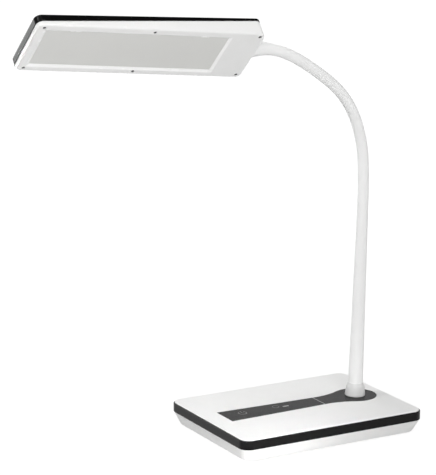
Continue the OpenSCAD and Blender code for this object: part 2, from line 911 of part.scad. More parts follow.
module head_lower_shell() {
    color(white)
        at_head()
            difference() {
                hull() {
                    for (turn = [0 : 30 : 90])
                        head_slab(
                            head_proud, head_draft + head_edge_r * (1 - sin(turn)),
                            -head_under + head_edge_r * (1 - cos(turn))
                        );
                    head_slab(head_proud, 0, head_high);
                }
                head_inside(0);
                hull() {
                    window_slab(bevel_w, -head_under - slab_t);
                    window_slab(0, -head_under + bevel_d);
                }
                above(tip_white, root_white);
                translate([win_x, 0, 0]) {
                    box(
                        [-win_l / 2, -win_w / 2, -head_under - over],
                        [win_l / 2, win_w / 2, z_head_floor + over]
                    );
                    box(
                        [-stack_l / 2, -stack_w / 2, z_diffuser],
                        [stack_l / 2, stack_w / 2, z_head_floor + over]
                    );
                }
                at_head_screws() rod(head_screw_r + fit, -head_under - over, z_head_floor + over);
                at_head_screws() rod(head_screw_head_r + fit, -head_under - over, head_screw_seat);
                rod_x(spigot_r + swivel_gap, block_front - over, over);
            }
}

module head_band() {
    color(black)
        at_head()
            difference() {
                translate([-head_l / 2, 0, 0]) {
                    difference() {
                        plate(head_l, head_w, head_corner_r, -head_under, head_high);
                        plate(
                            head_l - 2 * head_wall, head_w - 2 * head_wall, head_corner_r - head_wall,
                            -head_under - over, head_high + over
                        );
                    }
                }
                above(tip_t, root_t);
                difference() {
                    box([-2 * head_l, -head_w, -root_t], [head_l, head_w, root_t]);
                    above(tip_white, root_white);
                }
            }
}

module head_top_cover() {
    slope = atan((root_t - tip_t) / head_l);
    step_inset = head_wall + fit;
    color(white)
        at_head() {
            translate([0, 0, root_t - head_under]) rotate([0, -slope, 0]) translate([-head_l / 2, 0, 0]) {
                hull() {
                    slab(
                        head_l - 2 * head_cover_margin, head_w - 2 * head_cover_margin,
                        head_corner_r - head_cover_margin, 0
                    );
                    slab(
                        head_l - 2 * (head_cover_margin + head_cover_rise),
                        head_w - 2 * (head_cover_margin + head_cover_rise),
                        head_corner_r - head_cover_margin - head_cover_rise, head_cover_rise - slab_t
                    );
                }
                plate(
                    head_l - 2 * step_inset, head_w - 2 * step_inset, head_corner_r - step_inset,
                    -head_cover_step, slab_t
                );
            }
            difference() {
                intersection() {
                    at_head_screws() rod(head_boss_r, z_head_floor, head_high);
                    head_inside(fit);
                }
                at_head_screws()
                    rod(head_screw_r + fit, z_head_floor - over, head_screw_seat + head_screw_l);
                above(tip_t - head_cover_step / 2, root_t - head_cover_step / 2);
            }
        }
}

module diffuser() {
    color(opal)
        at_head() translate([win_x, 0, 0])
            box(
                [-stack_l / 2 + fit, -stack_w / 2 + fit, z_diffuser],
                [stack_l / 2 - fit, stack_w / 2 - fit, z_tray]
            );
}

module at_board_screws() {
    for (sx = [-1, 1], sy = [-1, 1])
        translate([win_x + sx * (stack_l / 2 - board_screw_in), sy * (stack_w / 2 - board_screw_in), 0])
            children();
}

module reflector_tray() {
    inner_l = stack_l - 2 * (tray_wall + fit);
    inner_w = stack_w - 2 * (tray_wall + fit);
    color(white)
        at_head()
            difference() {
                union() {
                    difference() {
                        translate([win_x, 0, 0])
                            box(
                                [-stack_l / 2 + fit, -stack_w / 2 + fit, z_tray],
                                [stack_l / 2 - fit, stack_w / 2 - fit, z_board]
                            );
                        translate([win_x, 0, 0])
                            box(
                                [-inner_l / 2, -inner_w / 2, z_tray - over],
                                [inner_l / 2, inner_w / 2, z_board + over]
                            );
                    }
                    at_board_screws()
                        box(
                            [-board_screw_in + fit, -board_screw_in + fit, z_tray],
                            [board_screw_in - fit, board_screw_in - fit, z_board]
                        );
                }
                at_board_screws() rod(head_screw_r + fit, z_tray + over, z_board + over);
            }
}

module led_board() {
    color([0.75, 0.76, 0.77])
        at_head()
            difference() {
                translate([win_x, 0, 0])
                    box(
                        [-stack_l / 2 + fit, -stack_w / 2 + fit, z_board],
                        [stack_l / 2 - fit, stack_w / 2 - fit, z_board_top]
                    );
                at_board_screws() rod(head_screw_r + fit, z_board - over, z_board_top + over);
            }
}

module leds() {
    pitch_x = win_l / led_cols;
    pitch_y = win_w / led_rows;
    color([0.95, 0.90, 0.55])
        at_head() translate([win_x, 0, 0])
            for (i = [0 : led_cols - 1], j = [0 : led_rows - 1])
                translate([(i + 0.5) * pitch_x - win_l / 2, (j + 0.5) * pitch_y - win_w / 2, z_board])
                    box([-led_l / 2, -led_w / 2, -led_h], [led_l / 2, led_w / 2, 0]);
}

module board_screws() {
    color(steel)
        at_head()
            at_board_screws() {
                rod(head_screw_head_r, z_board_top, z_board_top + head_screw_head_h);
                rod(head_screw_r, z_tray + over, z_board_top + head_screw_head_h / 2);
            }
}

module at_strap_screws() {
    for (side = [-1, 1])
        translate([strap_screw_x, side * strap_screw_y, 0]) children();
}

module swivel_block() {
    post_in = keeper_r + swivel_gap;
    color([0.20, 0.20, 0.22])
        at_head()
            difference() {
                union() {
                    box([block_back, -block_half_w, z_head_floor], [block_front, block_half_w, -fit]);
                    for (side = [0, 1])
                        mirror([0, side, 0])
                            box(
                                [keeper_back, post_in, z_head_floor],
                                [block_back + over, block_half_w, stop_post_top]
                            );
                }
                rod_x(spigot_r + running, block_back - over, block_front + over);
                box(
                    [block_back - fit, -block_half_w - over, -fit],
                    [block_front + over, block_half_w + over, strap_h]
                );
                at_strap_screws() rod(strap_screw_r + fit, z_head_floor + over, over);
            }
}

module swivel_strap() {
    color([0.20, 0.20, 0.22])
        at_head()
            difference() {
                box([block_back, -block_half_w, fit], [block_front, block_half_w, strap_h]);
                rod_x(spigot_r + running, block_back - over, block_front + over);
                at_strap_screws() rod(strap_screw_r + fit, -over, strap_h + over);
            }
}

module swivel_screws() {
    head_h = 1.4;
    head_r = 2.2;
    color(steel)
        at_head()
            at_strap_screws() {
                rod(head_r, strap_h, strap_h + head_h);
                rod(strap_screw_r, z_head_floor + over, strap_h + head_h / 2);
            }
}

// Wire from the end of the spigot to the light board
module head_lead() {
    tail = 6;
    color(wire_red)
        at_head() translate([0, 0, z_board_top + lead_r + fit])
            rod_x(lead_r, win_x + stack_l / 2 - tail, keeper_back - swivel_gap);
}

module head_screws() {
    slot_w = 0.5;
    color([0.35, 0.35, 0.36])
        at_head()
            at_head_screws() {
                difference() {
                    rod(head_screw_head_r, head_screw_seat - head_screw_head_h, head_screw_seat);
                    for (turn = [45, 135])
                        rotate([0, 0, turn])
                            box(
                                [-head_screw_r, -slot_w / 2, -head_under - over],
                                [head_screw_r, slot_w / 2, head_screw_seat - head_screw_head_h / 2]
                            );
                }
                rod(head_screw_r, head_screw_seat - head_screw_head_h / 4, head_screw_seat + head_screw_l);
            }
}

base_top_cover();
base_band();
base_bottom_shell();
base_weight();
base_pad();
base_screws();
touch_panel();
touch_board();
driver_board();
driver_parts();
dc_jack();
base_lead();
neck_collar();
neck_stud();
neck_washer();
neck_nut();
for (k = [1 : links]) {
    neck_sleeve(k);
    neck_core(k);
    neck_lead(k);
}
neck_ferrule();
swivel_spigot();
swivel_stop();
head_lower_shell();
head_band();
head_top_cover();
diffuser();
reflector_tray();
led_board();
leds();
board_screws();
swivel_block();
swivel_strap();
swivel_screws();
head_lead();
head_screws();
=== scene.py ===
# %% [markdown]
# A white desk lamp with a weighted base, a bendable neck and a flat light head.
# The solids of the lamp come from its construction model, which is the frame here.
# Every new piece is made in metres in that same frame, so nothing has to be fitted afterwards.

# %% Load the frame
import json
import math

import bmesh
import bpy
from mathutils import Matrix, Vector


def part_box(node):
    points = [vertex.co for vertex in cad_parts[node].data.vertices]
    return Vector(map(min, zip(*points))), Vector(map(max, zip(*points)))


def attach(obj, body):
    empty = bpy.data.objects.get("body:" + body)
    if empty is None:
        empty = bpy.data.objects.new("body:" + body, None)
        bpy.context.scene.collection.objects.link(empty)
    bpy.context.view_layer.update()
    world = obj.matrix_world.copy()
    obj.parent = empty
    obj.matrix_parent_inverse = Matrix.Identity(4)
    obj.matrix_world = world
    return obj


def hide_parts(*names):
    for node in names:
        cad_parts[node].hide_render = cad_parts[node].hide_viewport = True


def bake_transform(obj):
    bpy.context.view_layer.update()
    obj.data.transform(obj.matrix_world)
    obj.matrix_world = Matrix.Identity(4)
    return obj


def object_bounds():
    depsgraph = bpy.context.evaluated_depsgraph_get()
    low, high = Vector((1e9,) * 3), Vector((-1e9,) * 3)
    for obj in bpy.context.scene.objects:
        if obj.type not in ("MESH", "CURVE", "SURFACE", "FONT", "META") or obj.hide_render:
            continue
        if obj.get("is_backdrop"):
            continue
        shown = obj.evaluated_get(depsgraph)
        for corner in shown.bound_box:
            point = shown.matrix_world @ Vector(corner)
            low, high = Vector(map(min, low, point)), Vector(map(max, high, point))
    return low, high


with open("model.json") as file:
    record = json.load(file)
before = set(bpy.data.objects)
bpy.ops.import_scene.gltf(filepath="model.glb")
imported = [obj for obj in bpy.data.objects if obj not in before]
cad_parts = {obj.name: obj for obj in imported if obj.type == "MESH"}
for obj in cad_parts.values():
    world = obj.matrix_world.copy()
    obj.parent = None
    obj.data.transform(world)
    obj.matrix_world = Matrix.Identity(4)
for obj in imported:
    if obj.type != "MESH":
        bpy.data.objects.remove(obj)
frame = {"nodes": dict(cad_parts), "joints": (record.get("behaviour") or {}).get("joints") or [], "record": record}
cad_low, cad_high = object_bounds()
MM = 0.001

# %% [markdown]
# The frame already holds the main sizes. The boxes of the solids give the heights in the base,
# and the joints give the line of the neck and the place, pitch and roll of the head.
# Reading them here means that the looks follow when the construction changes.

# %% Read sizes and places from the frame
bend_joints = [joint for joint in frame["joints"] if joint["name"].startswith("neck_")]
swivel = next(joint for joint in frame["joints"] if joint["name"] == "head_swivel")

band_low, band_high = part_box("base_band")
cover_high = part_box("base_top_cover")[1]
cover_low_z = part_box("touch_board")[1].z
shell_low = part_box("base_bottom_shell")[0]
pad_low, pad_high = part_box("base_pad")
panel_low, panel_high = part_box("touch_panel")
collar_low, collar_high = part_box("neck_collar")

base_l = band_high.x - band_low.x
base_w = band_high.y - band_low.y
neck_x = bend_joints[0]["pos_m"][0]
first_joint, second_joint = (Vector(joint["pos_m"]) for joint in bend_joints[:2])
neck_lean = (second_joint - first_joint).normalized()
neck_foot = first_joint - neck_lean * (first_joint.z - panel_high.z) / neck_lean.z

head_at = Vector(swivel["pos_m"])
head_axis = Vector(swivel["axis"])
head_pitch = math.atan2(-head_axis.z, head_axis.x)
head_roll = math.radians(sum(swivel["range_deg"]) / 2)
neck_end_place = Matrix.Translation(head_at) @ Matrix.Rotation(head_pitch, 4, "Y")
head_place = neck_end_place @ Matrix.Rotation(-head_roll, 4, "X")
print("base", round(base_l / MM), "by", round(base_w / MM), "mm, head rolled", round(math.degrees(head_roll)))

# %% [markdown]
# The camera stands where the picture was taken from. Its place was worked out from the edges of
# the base, as a far camera with a long lens, so the lamp shows little perspective.
# A vertical sensor fit ties the lens to the picture's height.

# %% Camera
scene = bpy.context.scene
picture_h = 475
focal_px = 2110.3
sensor_h = 36
camera_turn = math.radians(-28.99)
camera_drop = math.radians(12.92)
camera_at = Vector((-1023.02, -1688.77, 644.30)) * MM


def put(name, data):
    """A new object in the scene."""
    made = bpy.data.objects.new(name, data)
    scene.collection.objects.link(made)
    return made


camera_data = bpy.data.cameras.new("camera")
camera_data.sensor_fit = "VERTICAL"
camera_data.sensor_height = sensor_h
camera_data.lens = focal_px * sensor_h / picture_h
camera_data.clip_start = 0.05
camera = put("camera", camera_data)
camera.location = camera_at
camera.rotation_euler = (math.pi / 2 - camera_drop, 0, camera_turn)
bpy.context.scene.camera = camera
print("lens", round(camera_data.lens, 1), "mm")

# %% [markdown]
# Floor, world, finishes and Geometry Nodes are all node trees. Built node by node and link by link
# they take many lines, so two helpers do it: one feeds a node's inputs with plain values or with
# the outputs of other nodes, and one adds a node with its settings and feeds it.

# %% Helpers for node trees
def feed(tree, node, values):
    """Sets inputs to plain values, and links those whose value is another node's output."""
    for name, value in values.items():
        if isinstance(value, bpy.types.NodeSocket):
            tree.links.new(value, node.inputs[name])
        else:
            node.inputs[name].default_value = value
    return node


def add_node(tree, kind, values=None, **settings):
    """A new node of a kind, with its settings and its inputs."""
    node = tree.nodes.new(kind)
    for name, value in settings.items():
        setattr(node, name, value)
    return feed(tree, node, values or {})


def math_node(tree, operation, first, second):
    return add_node(tree, "ShaderNodeMath", {0: first, 1: second}, operation=operation).outputs[0]


def map_range(tree, value, from_min, from_max, to_min, to_max):
    """A value carried from one range to another, and held at the ends."""
    return add_node(tree, "ShaderNodeMapRange", {
        "Value": value, "From Min": from_min, "From Max": from_max, "To Min": to_min, "To Max": to_max,
    }).outputs["Result"]


print("node helpers ready")

# %% [markdown]
# A pale floor and a white surround stand for a light tent. Through the Light Path node both are
# white to the camera and in reflections, apart from a dark ceiling that keeps the black parts
# black. To all other rays the floor is a plain grey sheet. It keeps a soft shadow near the lamp.

# %% Floor and world
scene.view_settings.view_transform = "Standard"


def seen_directly(tree):
    """A value that is 1 for rays from the camera, from gloss or through glass."""
    path = add_node(tree, "ShaderNodeLightPath").outputs
    either = math_node(tree, "MAXIMUM", path["Is Camera Ray"], path["Is Glossy Ray"])
    return math_node(tree, "MAXIMUM", either, path["Is Transmission Ray"])


def make_floor(size, drop, shadow_share, bounce):
    """A sheet under the lamp. shadow_share is how much of its brightness the shadow can take."""
    near, far = 0.2, 0.9
    near_glow, far_glow = 1 - shadow_share * 0.5, 1.05
    corners = ((-1, -1), (1, -1), (1, 1), (-1, 1))
    mesh = bpy.data.meshes.new("floor")
    mesh.from_pydata([(x * size / 2, y * size / 2, -drop) for x, y in corners], [], [(0, 1, 2, 3)])
    floor = put("floor", mesh)
    material = bpy.data.materials.new("floor_white")
    material.use_nodes = True
    tree = material.node_tree
    tree.nodes.clear()
    plain = add_node(tree, "ShaderNodeBsdfDiffuse", {"Color": (bounce, bounce, bounce, 1)})
    shaded = add_node(tree, "ShaderNodeBsdfDiffuse", {"Color": (shadow_share, shadow_share, shadow_share, 1)})
    place = add_node(tree, "ShaderNodeTexCoord").outputs["Object"]
    away = add_node(tree, "ShaderNodeVectorMath", {0: place}, operation="LENGTH").outputs["Value"]
    glow = add_node(tree, "ShaderNodeEmission", {
        "Strength": map_range(tree, away, near, far, near_glow, far_glow),
    })
    bright = add_node(tree, "ShaderNodeAddShader", {0: shaded.outputs[0], 1: glow.outputs[0]})
    pick = add_node(tree, "ShaderNodeMixShader", {
        0: seen_directly(tree), 1: plain.outputs[0], 2: bright.outputs[0],
    })
    add_node(tree, "ShaderNodeOutputMaterial", {"Surface": pick.outputs[0]})
    mesh.materials.append(material)
    floor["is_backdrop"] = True


def make_world(fill, ceiling):
    """A white surround with a plain level of light, and a dark ceiling that shows in reflections."""
    ceiling_start, ceiling_full = 0.45, 0.7
    world = bpy.data.worlds.new("surround")
    scene.world = world
    world.use_nodes = True
    tree = world.node_tree
    tree.nodes.clear()
    direction = add_node(tree, "ShaderNodeTexCoord").outputs["Generated"]
    height = add_node(tree, "ShaderNodeSeparateXYZ", {0: direction}).outputs["Z"]
    shown = map_range(tree, height, ceiling_start, ceiling_full, 1.0, ceiling)
    strength = add_node(tree, "ShaderNodeMix", {"Factor": seen_directly(tree), "A": fill, "B": shown})
    back = add_node(tree, "ShaderNodeBackground", {"Strength": strength.outputs["Result"]})
    add_node(tree, "ShaderNodeOutputWorld", {"Surface": back.outputs[0]})


make_floor(size=30, drop=0.0001, shadow_share=0.1, bounce=0.5)
make_world(fill=0.15, ceiling=0.05)
print("world", scene.world.name)

# %% [markdown]
# Nine soft lamps light the lamp evenly. Five large ones light it as a whole, three small ones lift
# the base's near corner and edge and the head's tip, and one shows only in gloss. The beams of the
# small ones are narrowed, so that they leave the rest of the lamp alone.

# %% Lamps
def make_lamp(name, place, target, size, power, spread=180):
    """A square soft lamp that faces a point. spread is the angle of its beam, in degrees."""
    data = bpy.data.lights.new(name, "AREA")
    data.shape = "SQUARE"
    data.size = size
    data.energy = power
    data.spread = math.radians(spread)
    lamp = put(name, data)
    lamp.location = place
    lamp.rotation_euler = (Vector(target) - Vector(place)).to_track_quat("-Z", "Y").to_euler()
    lamp.visible_camera = False
    return lamp


middle = (cad_low + cad_high) / 2
make_lamp("front_lamp", (-0.5, -1.2, 0.5), middle, 0.8, 11)
make_lamp("left_lamp", (-0.9, 0.3, 1.5), middle, 0.6, 10.8)
make_lamp("right_lamp", (1.4, -0.6, 0.9), middle, 1.2, 6.9)
make_lamp("back_lamp", (-0.4, 0.9, 1.2), middle, 1.0, 6.5)
make_lamp("top_lamp", (-0.3, -0.25, 1.3), middle, 0.6, 1.7)
make_lamp("corner_lamp", (-0.15, -0.25, 0.05), (-0.08, -0.074, 0.01), 0.08, 0.03, spread=55)
make_lamp("tip_lamp", (-1.12, 0.51, 1.53), (-0.283, 0.0, 0.395), 0.1, 0.13, spread=5)
make_lamp("edge_lamp", (-0.61, -1.01, 1.06), (-0.12, -0.05, 0.02), 0.15, 0.018, spread=10)
gleam = make_lamp("gleam_lamp", (-1.1, 1.35, 0.2), middle, 0.6, 6)
gleam.visible_diffuse = False
print("lamps", len(bpy.data.lights))

# %% [markdown]
# Moulded shells have rounded edges, and a rounded edge is what catches the light.
# So the shells are lofts: a profile with rounded corners is carried round the outline of the piece.
# The helpers below round a profile, draw an outline with round corners and skin a row of rings.

# %% Profiles and outlines
def rounded_profile(corners, steps=6):
    """Points of a profile from (u, v, radius) corners. The ends of the profile stay sharp."""
    points = []
    for i, (u, v, radius) in enumerate(corners):
        corner = Vector((u, v))
        if radius == 0 or i in (0, len(corners) - 1):
            points.append(corner)
            continue
        back = (Vector(corners[i - 1][:2]) - corner).normalized()
        ahead = (Vector(corners[i + 1][:2]) - corner).normalized()
        half = back.angle(ahead) / 2
        middle_of_arc = corner + (back + ahead).normalized() * radius / math.sin(half)
        start = corner + back * radius / math.tan(half) - middle_of_arc
        end = corner + ahead * radius / math.tan(half) - middle_of_arc
        for step in range(steps + 1):
            points.append(middle_of_arc + radius * start.slerp(end, step / steps))
    return points


def outline(length, width, radius, steps=10):
    """Points round a rectangle with round corners, anticlockwise."""
    points = []
    for sx, sy, start in ((1, 1, 0), (-1, 1, 90), (-1, -1, 180), (1, -1, 270)):
        corner = Vector((sx * (length / 2 - radius), sy * (width / 2 - radius)))
        for step in range(steps + 1):
            turn = math.radians(start + 90 * step / steps)
            points.append(corner + radius * Vector((math.cos(turn), math.sin(turn))))
    return points


def at_height(points, z):
    """A flat outline as a ring at a height."""
    return [Vector((p.x, p.y, z)) for p in points]


def quarter_round(steps):
    """Points of a quarter round of radius 1: the first value falls from 1 to 0, the second rises."""
    turns = [math.pi / 2 * step / steps for step in range(steps + 1)]
    return [(1 - math.sin(turn), 1 - math.cos(turn)) for turn in turns]


print("profile and outline helpers ready")

# %% [markdown]
# A loft is one mesh over a row of rings, and a turned piece is a loft of circles. Faces made ring
# by ring may point either way, so doubled points are merged and the faces then turned outwards.

# %% Lofts and turned pieces
merge_reach = 1e-7


def new_piece(name, verts, faces):
    mesh = bpy.data.meshes.new(name)
    mesh.from_pydata([tuple(v) for v in verts], [], faces)
    return put(name, mesh)


def face_outwards(mesh):
    work = bmesh.new()
    work.from_mesh(mesh)
    bmesh.ops.remove_doubles(work, verts=work.verts, dist=merge_reach)
    bmesh.ops.recalc_face_normals(work, faces=work.faces)
    work.to_mesh(mesh)
    work.free()


def loft(name, rings, closed=False):
    """Skin of a row of rings with as many points each. An open row gets its two ends capped."""
    count = len(rings[0])
    verts = [point for ring in rings for point in ring]
    rows = len(rings) if closed else len(rings) - 1
    faces = []
    for row in range(rows):
        here, there = row * count, (row + 1) % len(rings) * count
        for i in range(count):
            after = (i + 1) % count
            faces.append((here + i, here + after, there + after, there + i))
    if not closed:
        faces.append(tuple(reversed(range(count))))
        faces.append(tuple(range((len(rings) - 1) * count, len(rings) * count)))
    piece = new_piece(name, verts, faces)
    face_outwards(piece.data)
    return piece


def lathe(name, profile, place, closed=False, sides=64):
    """A turned piece: profile points are (radius, height) about the place's own Z axis."""
    turns = [2 * math.pi * i / sides for i in range(sides)]
    rings = []
    for radius, height in profile:
        rings.append([place @ Vector((radius * math.cos(t), radius * math.sin(t), height)) for t in turns])
    return loft(name, rings, closed)


def prism(name, points, low, high):
    """An upright solid over an outline, between two heights."""
    return loft(name, [at_height(points, z) for z in (low, high)])


def rod(name, place, radius, low, high, sides=40):
    """A round solid along the place's own Z axis."""
    return lathe(name, [(radius, low), (radius, high)], place, sides=sides)


print("loft helpers ready")

# %% [markdown]
# Holes and pockets are cut with the Boolean modifier, and a weighted normal modifier then keeps
# the flat faces flat next to their rounded edges. Each modifier's result is made the mesh itself,
# so a finished piece is a plain mesh at the origin.

# %% Cutting and finishing
def settle(piece):
    """Makes what the modifiers give the piece's own mesh."""
    depsgraph = bpy.context.evaluated_depsgraph_get()
    mesh = bpy.data.meshes.new_from_object(piece.evaluated_get(depsgraph))
    piece.modifiers.clear()
    piece.data = mesh
    mesh.name = piece.name


def carve(piece, cutters):
    """Cuts other solids out of a piece and removes them."""
    for cutter in cutters:
        cut = piece.modifiers.new("cut", "BOOLEAN")
        cut.operation = "DIFFERENCE"
        cut.solver = "EXACT"
        cut.object = cutter
        settle(piece)
        bpy.data.objects.remove(cutter)
    return piece


def smooth_edges(piece, sharp=32):
    """Smooth shading that keeps edges of more than sharp degrees, and keeps flat faces flat."""
    piece.data.shade_smooth()
    piece.data.set_sharp_from_angle(angle=math.radians(sharp))
    weighted = piece.modifiers.new("weighted", "WEIGHTED_NORMAL")
    weighted.keep_sharp = True
    settle(piece)
    return piece


def give_finish(piece, material):
    piece.data.materials.clear()
    piece.data.materials.append(material)


def hand_over(piece, body, material, nodes):
    """Gives a piece its finish, its body and the solids it stands for."""
    give_finish(piece, material)
    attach(piece, body)
    if nodes:
        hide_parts(*nodes)


print("cutting helpers ready")

# %% [markdown]
# Finishes come next, because each piece takes one when it is made. Effects that several finishes
# share are shader node groups: a fine moulding grain, wide soft smudges and thin hairlines.
# They read Object coordinates, so their scale is in real millimetres on every piece.

# %% Shared shader groups
def shader_group(name, inputs, outputs):
    group = bpy.data.node_groups.new(name, "ShaderNodeTree")
    for socket, value in inputs.items():
        made = group.interface.new_socket(name=socket, in_out="INPUT", socket_type="NodeSocketFloat")
        made.default_value = value
    for socket in outputs:
        group.interface.new_socket(name=socket, in_out="OUTPUT", socket_type="NodeSocketFloat")
    return group, group.nodes.new("NodeGroupInput"), group.nodes.new("NodeGroupOutput")


def noise_mask(tree, size_mm, detail, stretch=None):
    """Noise with features of about size_mm, which may be a socket."""
    vector = add_node(tree, "ShaderNodeTexCoord").outputs["Object"]
    if stretch:
        vector = add_node(tree, "ShaderNodeMapping", {"Vector": vector, "Scale": stretch}).outputs["Vector"]
    scale = math_node(tree, "DIVIDE", 1 / MM, size_mm)
    noise = add_node(tree, "ShaderNodeTexNoise", {"Vector": vector, "Scale": scale, "Detail": detail})
    return noise.outputs["Fac"]


def make_grain():
    """Moulding grain: a height for bump and a mask for small changes of gloss and colour."""
    mask_widening = 40.0
    group, given, out = shader_group("moulding_grain", {"Size": 0.4}, ("Height", "Mask"))
    fine = given.outputs["Size"]
    wide = math_node(group, "MULTIPLY", fine, mask_widening)
    feed(group, out, {"Height": noise_mask(group, fine, 3), "Mask": noise_mask(group, wide, 4)})
    return group


def make_smudges():
    """Wide soft patches where a surface has been handled and wiped."""
    clean_below, steepness = 0.42, 3.0
    group, given, out = shader_group("soft_smudges", {"Size": 30.0, "Amount": 0.5}, ("Mask",))
    above = math_node(group, "SUBTRACT", noise_mask(group, given.outputs["Size"], 5), clean_below)
    steep = math_node(group, "MULTIPLY", above, steepness)
    patch = math_node(group, "MAXIMUM", steep, 0.0)
    feed(group, out, {"Mask": math_node(group, "MULTIPLY", patch, given.outputs["Amount"])})
    return group


def make_hairlines():
    """Thin lines along one direction, as brushing or wiping leaves them."""
    thinness = 18
    group, given, out = shader_group("hairlines", {"Size": 3.0}, ("Height",))
    lines = noise_mask(group, given.outputs["Size"], 6, stretch=(1, thinness, thinness))
    feed(group, out, {"Height": lines})
    return group


GRAIN, SMUDGES, HAIRLINES = make_grain(), make_smudges(), make_hairlines()
print("shared groups", GRAIN.name, SMUDGES.name, HAIRLINES.name)

# %% [markdown]
# A finish is a Principled shader fed by these groups. Its colour, gloss and bump all change a
# little over the surface, as on real moulded plastic, while values that are the same all over are
# set on the shader's own sockets. One function makes the plain finishes from a few numbers.

# %% Finishes from grain and smudges
noise_low, noise_high = 0.25, 0.75
plain_specular = 0.5


def start_material(name):
    material = bpy.data.materials.new(name)
    material.use_nodes = True
    tree = material.node_tree
    return material, tree, tree.nodes["Principled BSDF"]


def place_group(tree, group, **values):
    return add_node(tree, "ShaderNodeGroup", values, node_tree=group).outputs


def spread(tree, mask, low, high):
    """A noise mask turned into a value between low and high."""
    return map_range(tree, mask, noise_low, noise_high, low, high)


def two_tones(tree, mask, first, second):
    """A colour between two tones. Numbers pick the Mix node's sockets, because names repeat there."""
    tones = {0: mask, 6: (*first, 1), 7: (*second, 1)}
    return add_node(tree, "ShaderNodeMix", tones, data_type="RGBA").outputs[2]


def bump(tree, height, depth_mm, strength):
    values = {"Height": height, "Distance": depth_mm * MM, "Strength": strength}
    return add_node(tree, "ShaderNodeBump", values).outputs["Normal"]


def moulded(name, tones, gloss, grain_mm, depth_mm, smudge=0.0, specular=plain_specular):
    """Moulded or coated finish: two close tones, a range of roughness and a fine grain."""
    material, tree, shader = start_material(name)
    grain = place_group(tree, GRAIN, Size=grain_mm)
    rough = spread(tree, grain["Mask"], *gloss)
    if smudge:
        rough = math_node(tree, "ADD", rough, place_group(tree, SMUDGES, Amount=smudge)["Mask"])
    feed(tree, shader, {
        "Base Color": two_tones(tree, grain["Mask"], *tones),
        "Roughness": rough,
        "Normal": bump(tree, grain["Height"], depth_mm, strength=0.35),
        "Specular IOR Level": specular,
    })
    return material


def grey(low, high):
    """Two close neutral tones."""
    return (low, low, low), (high, high, high)


white_shell = moulded("white_shell", ((0.85, 0.85, 0.84), (0.88, 0.88, 0.875)), (0.32, 0.42), 0.35, 0.01)
soft_sleeve = moulded("soft_sleeve", ((0.875, 0.875, 0.87), (0.895, 0.895, 0.89)), (0.50, 0.62), 3.0, 0.004)
# The collar's white is greyer than the sleeve's: painted shade that darkens the collar at the foot of the neck.
collar_white = moulded("collar_white", ((0.66, 0.66, 0.655), (0.68, 0.68, 0.675)), (0.45, 0.55), 0.3, 0.01)
# A brighter white for the window's bevel: a painted highlight for the light that the bevel catches.
bevel_white = moulded("bevel_white", ((0.94, 0.94, 0.935), (0.95, 0.95, 0.945)), (0.2, 0.3), 0.35, 0.005)
black_gloss = moulded("black_gloss", grey(0.005, 0.007), (0.08, 0.16), 0.6, 0.004, 0.05, specular=0.12)
deep_black = moulded("deep_black", grey(0.003, 0.004), (0.06, 0.12), 0.6, 0.004, 0.03, specular=0.05)
smoked_sheet = moulded("smoked_sheet", grey(0.016, 0.02), (0.16, 0.24), 0.5, 0.004, 0.06, specular=0.06)
dark_plastic = moulded("dark_plastic", grey(0.02, 0.028), (0.45, 0.6), 0.3, 0.02)
pad_rubber = moulded("pad_rubber", grey(0.025, 0.04), (0.75, 0.9), 0.5, 0.05)
wire_red = moulded("wire_red", ((0.36, 0.02, 0.016), (0.42, 0.03, 0.02)), (0.4, 0.5), 0.3, 0.01)
print("moulded finishes from", white_shell.name, "to", wire_red.name)

# %% [markdown]
# Metals need their own look: brushed lines on steel, a warm tone on brass, and dark zinc on the
# screws of the head. The lines are stretched noise in the colour, the bump and the roughness.

# %% Metal finishes
def brushed(name, tones, gloss, line_mm):
    material, tree, shader = start_material(name)
    lines = place_group(tree, HAIRLINES, Size=line_mm)["Height"]
    feed(tree, shader, {
        "Base Color": two_tones(tree, lines, *tones),
        "Roughness": spread(tree, lines, *gloss),
        "Normal": bump(tree, lines, 0.01, strength=0.3),
        "Metallic": 1.0,
    })
    return material


steel = brushed("brushed_steel", ((0.50, 0.51, 0.52), (0.62, 0.63, 0.64)), (0.22, 0.38), 2.0)
brass = brushed("turned_brass", ((0.62, 0.45, 0.18), (0.72, 0.55, 0.25)), (0.2, 0.32), 1.5)
screw_zinc = brushed("screw_zinc", ((0.09, 0.09, 0.095), (0.14, 0.14, 0.145)), (0.3, 0.45), 0.8)
print("metals", steel.name, brass.name, screw_zinc.name)

# %% [markdown]
# The circuit boards show copper tracks under a green lacquer, and the light board has a white
# coat. The diffuser is an opal sheet with a faint pattern of fine prisms, and the light sources
# are yellow where the phosphor lies over the chip.

# %% Board, opal and light-source finishes
def tracks(name, lacquer, track, pitch_mm):
    """Board lacquer over copper tracks: a brick pattern gives the lines."""
    lighter, track_share = 1.15, 0.06
    material, tree, shader = start_material(name)
    bricks = add_node(tree, "ShaderNodeTexBrick", {
        "Vector": add_node(tree, "ShaderNodeTexCoord").outputs["Object"],
        "Color1": (*lacquer, 1),
        "Color2": (*(lighter * c for c in lacquer), 1),
        "Mortar": (*track, 1),
        "Scale": 1 / (pitch_mm * MM),
        "Mortar Size": track_share,
    }).outputs
    grain = place_group(tree, GRAIN, Size=0.6)
    feed(tree, shader, {
        "Base Color": bricks["Color"],
        "Roughness": spread(tree, grain["Mask"], 0.25, 0.4),
        "Normal": bump(tree, bricks["Fac"], 0.03, strength=0.4),
    })
    return material


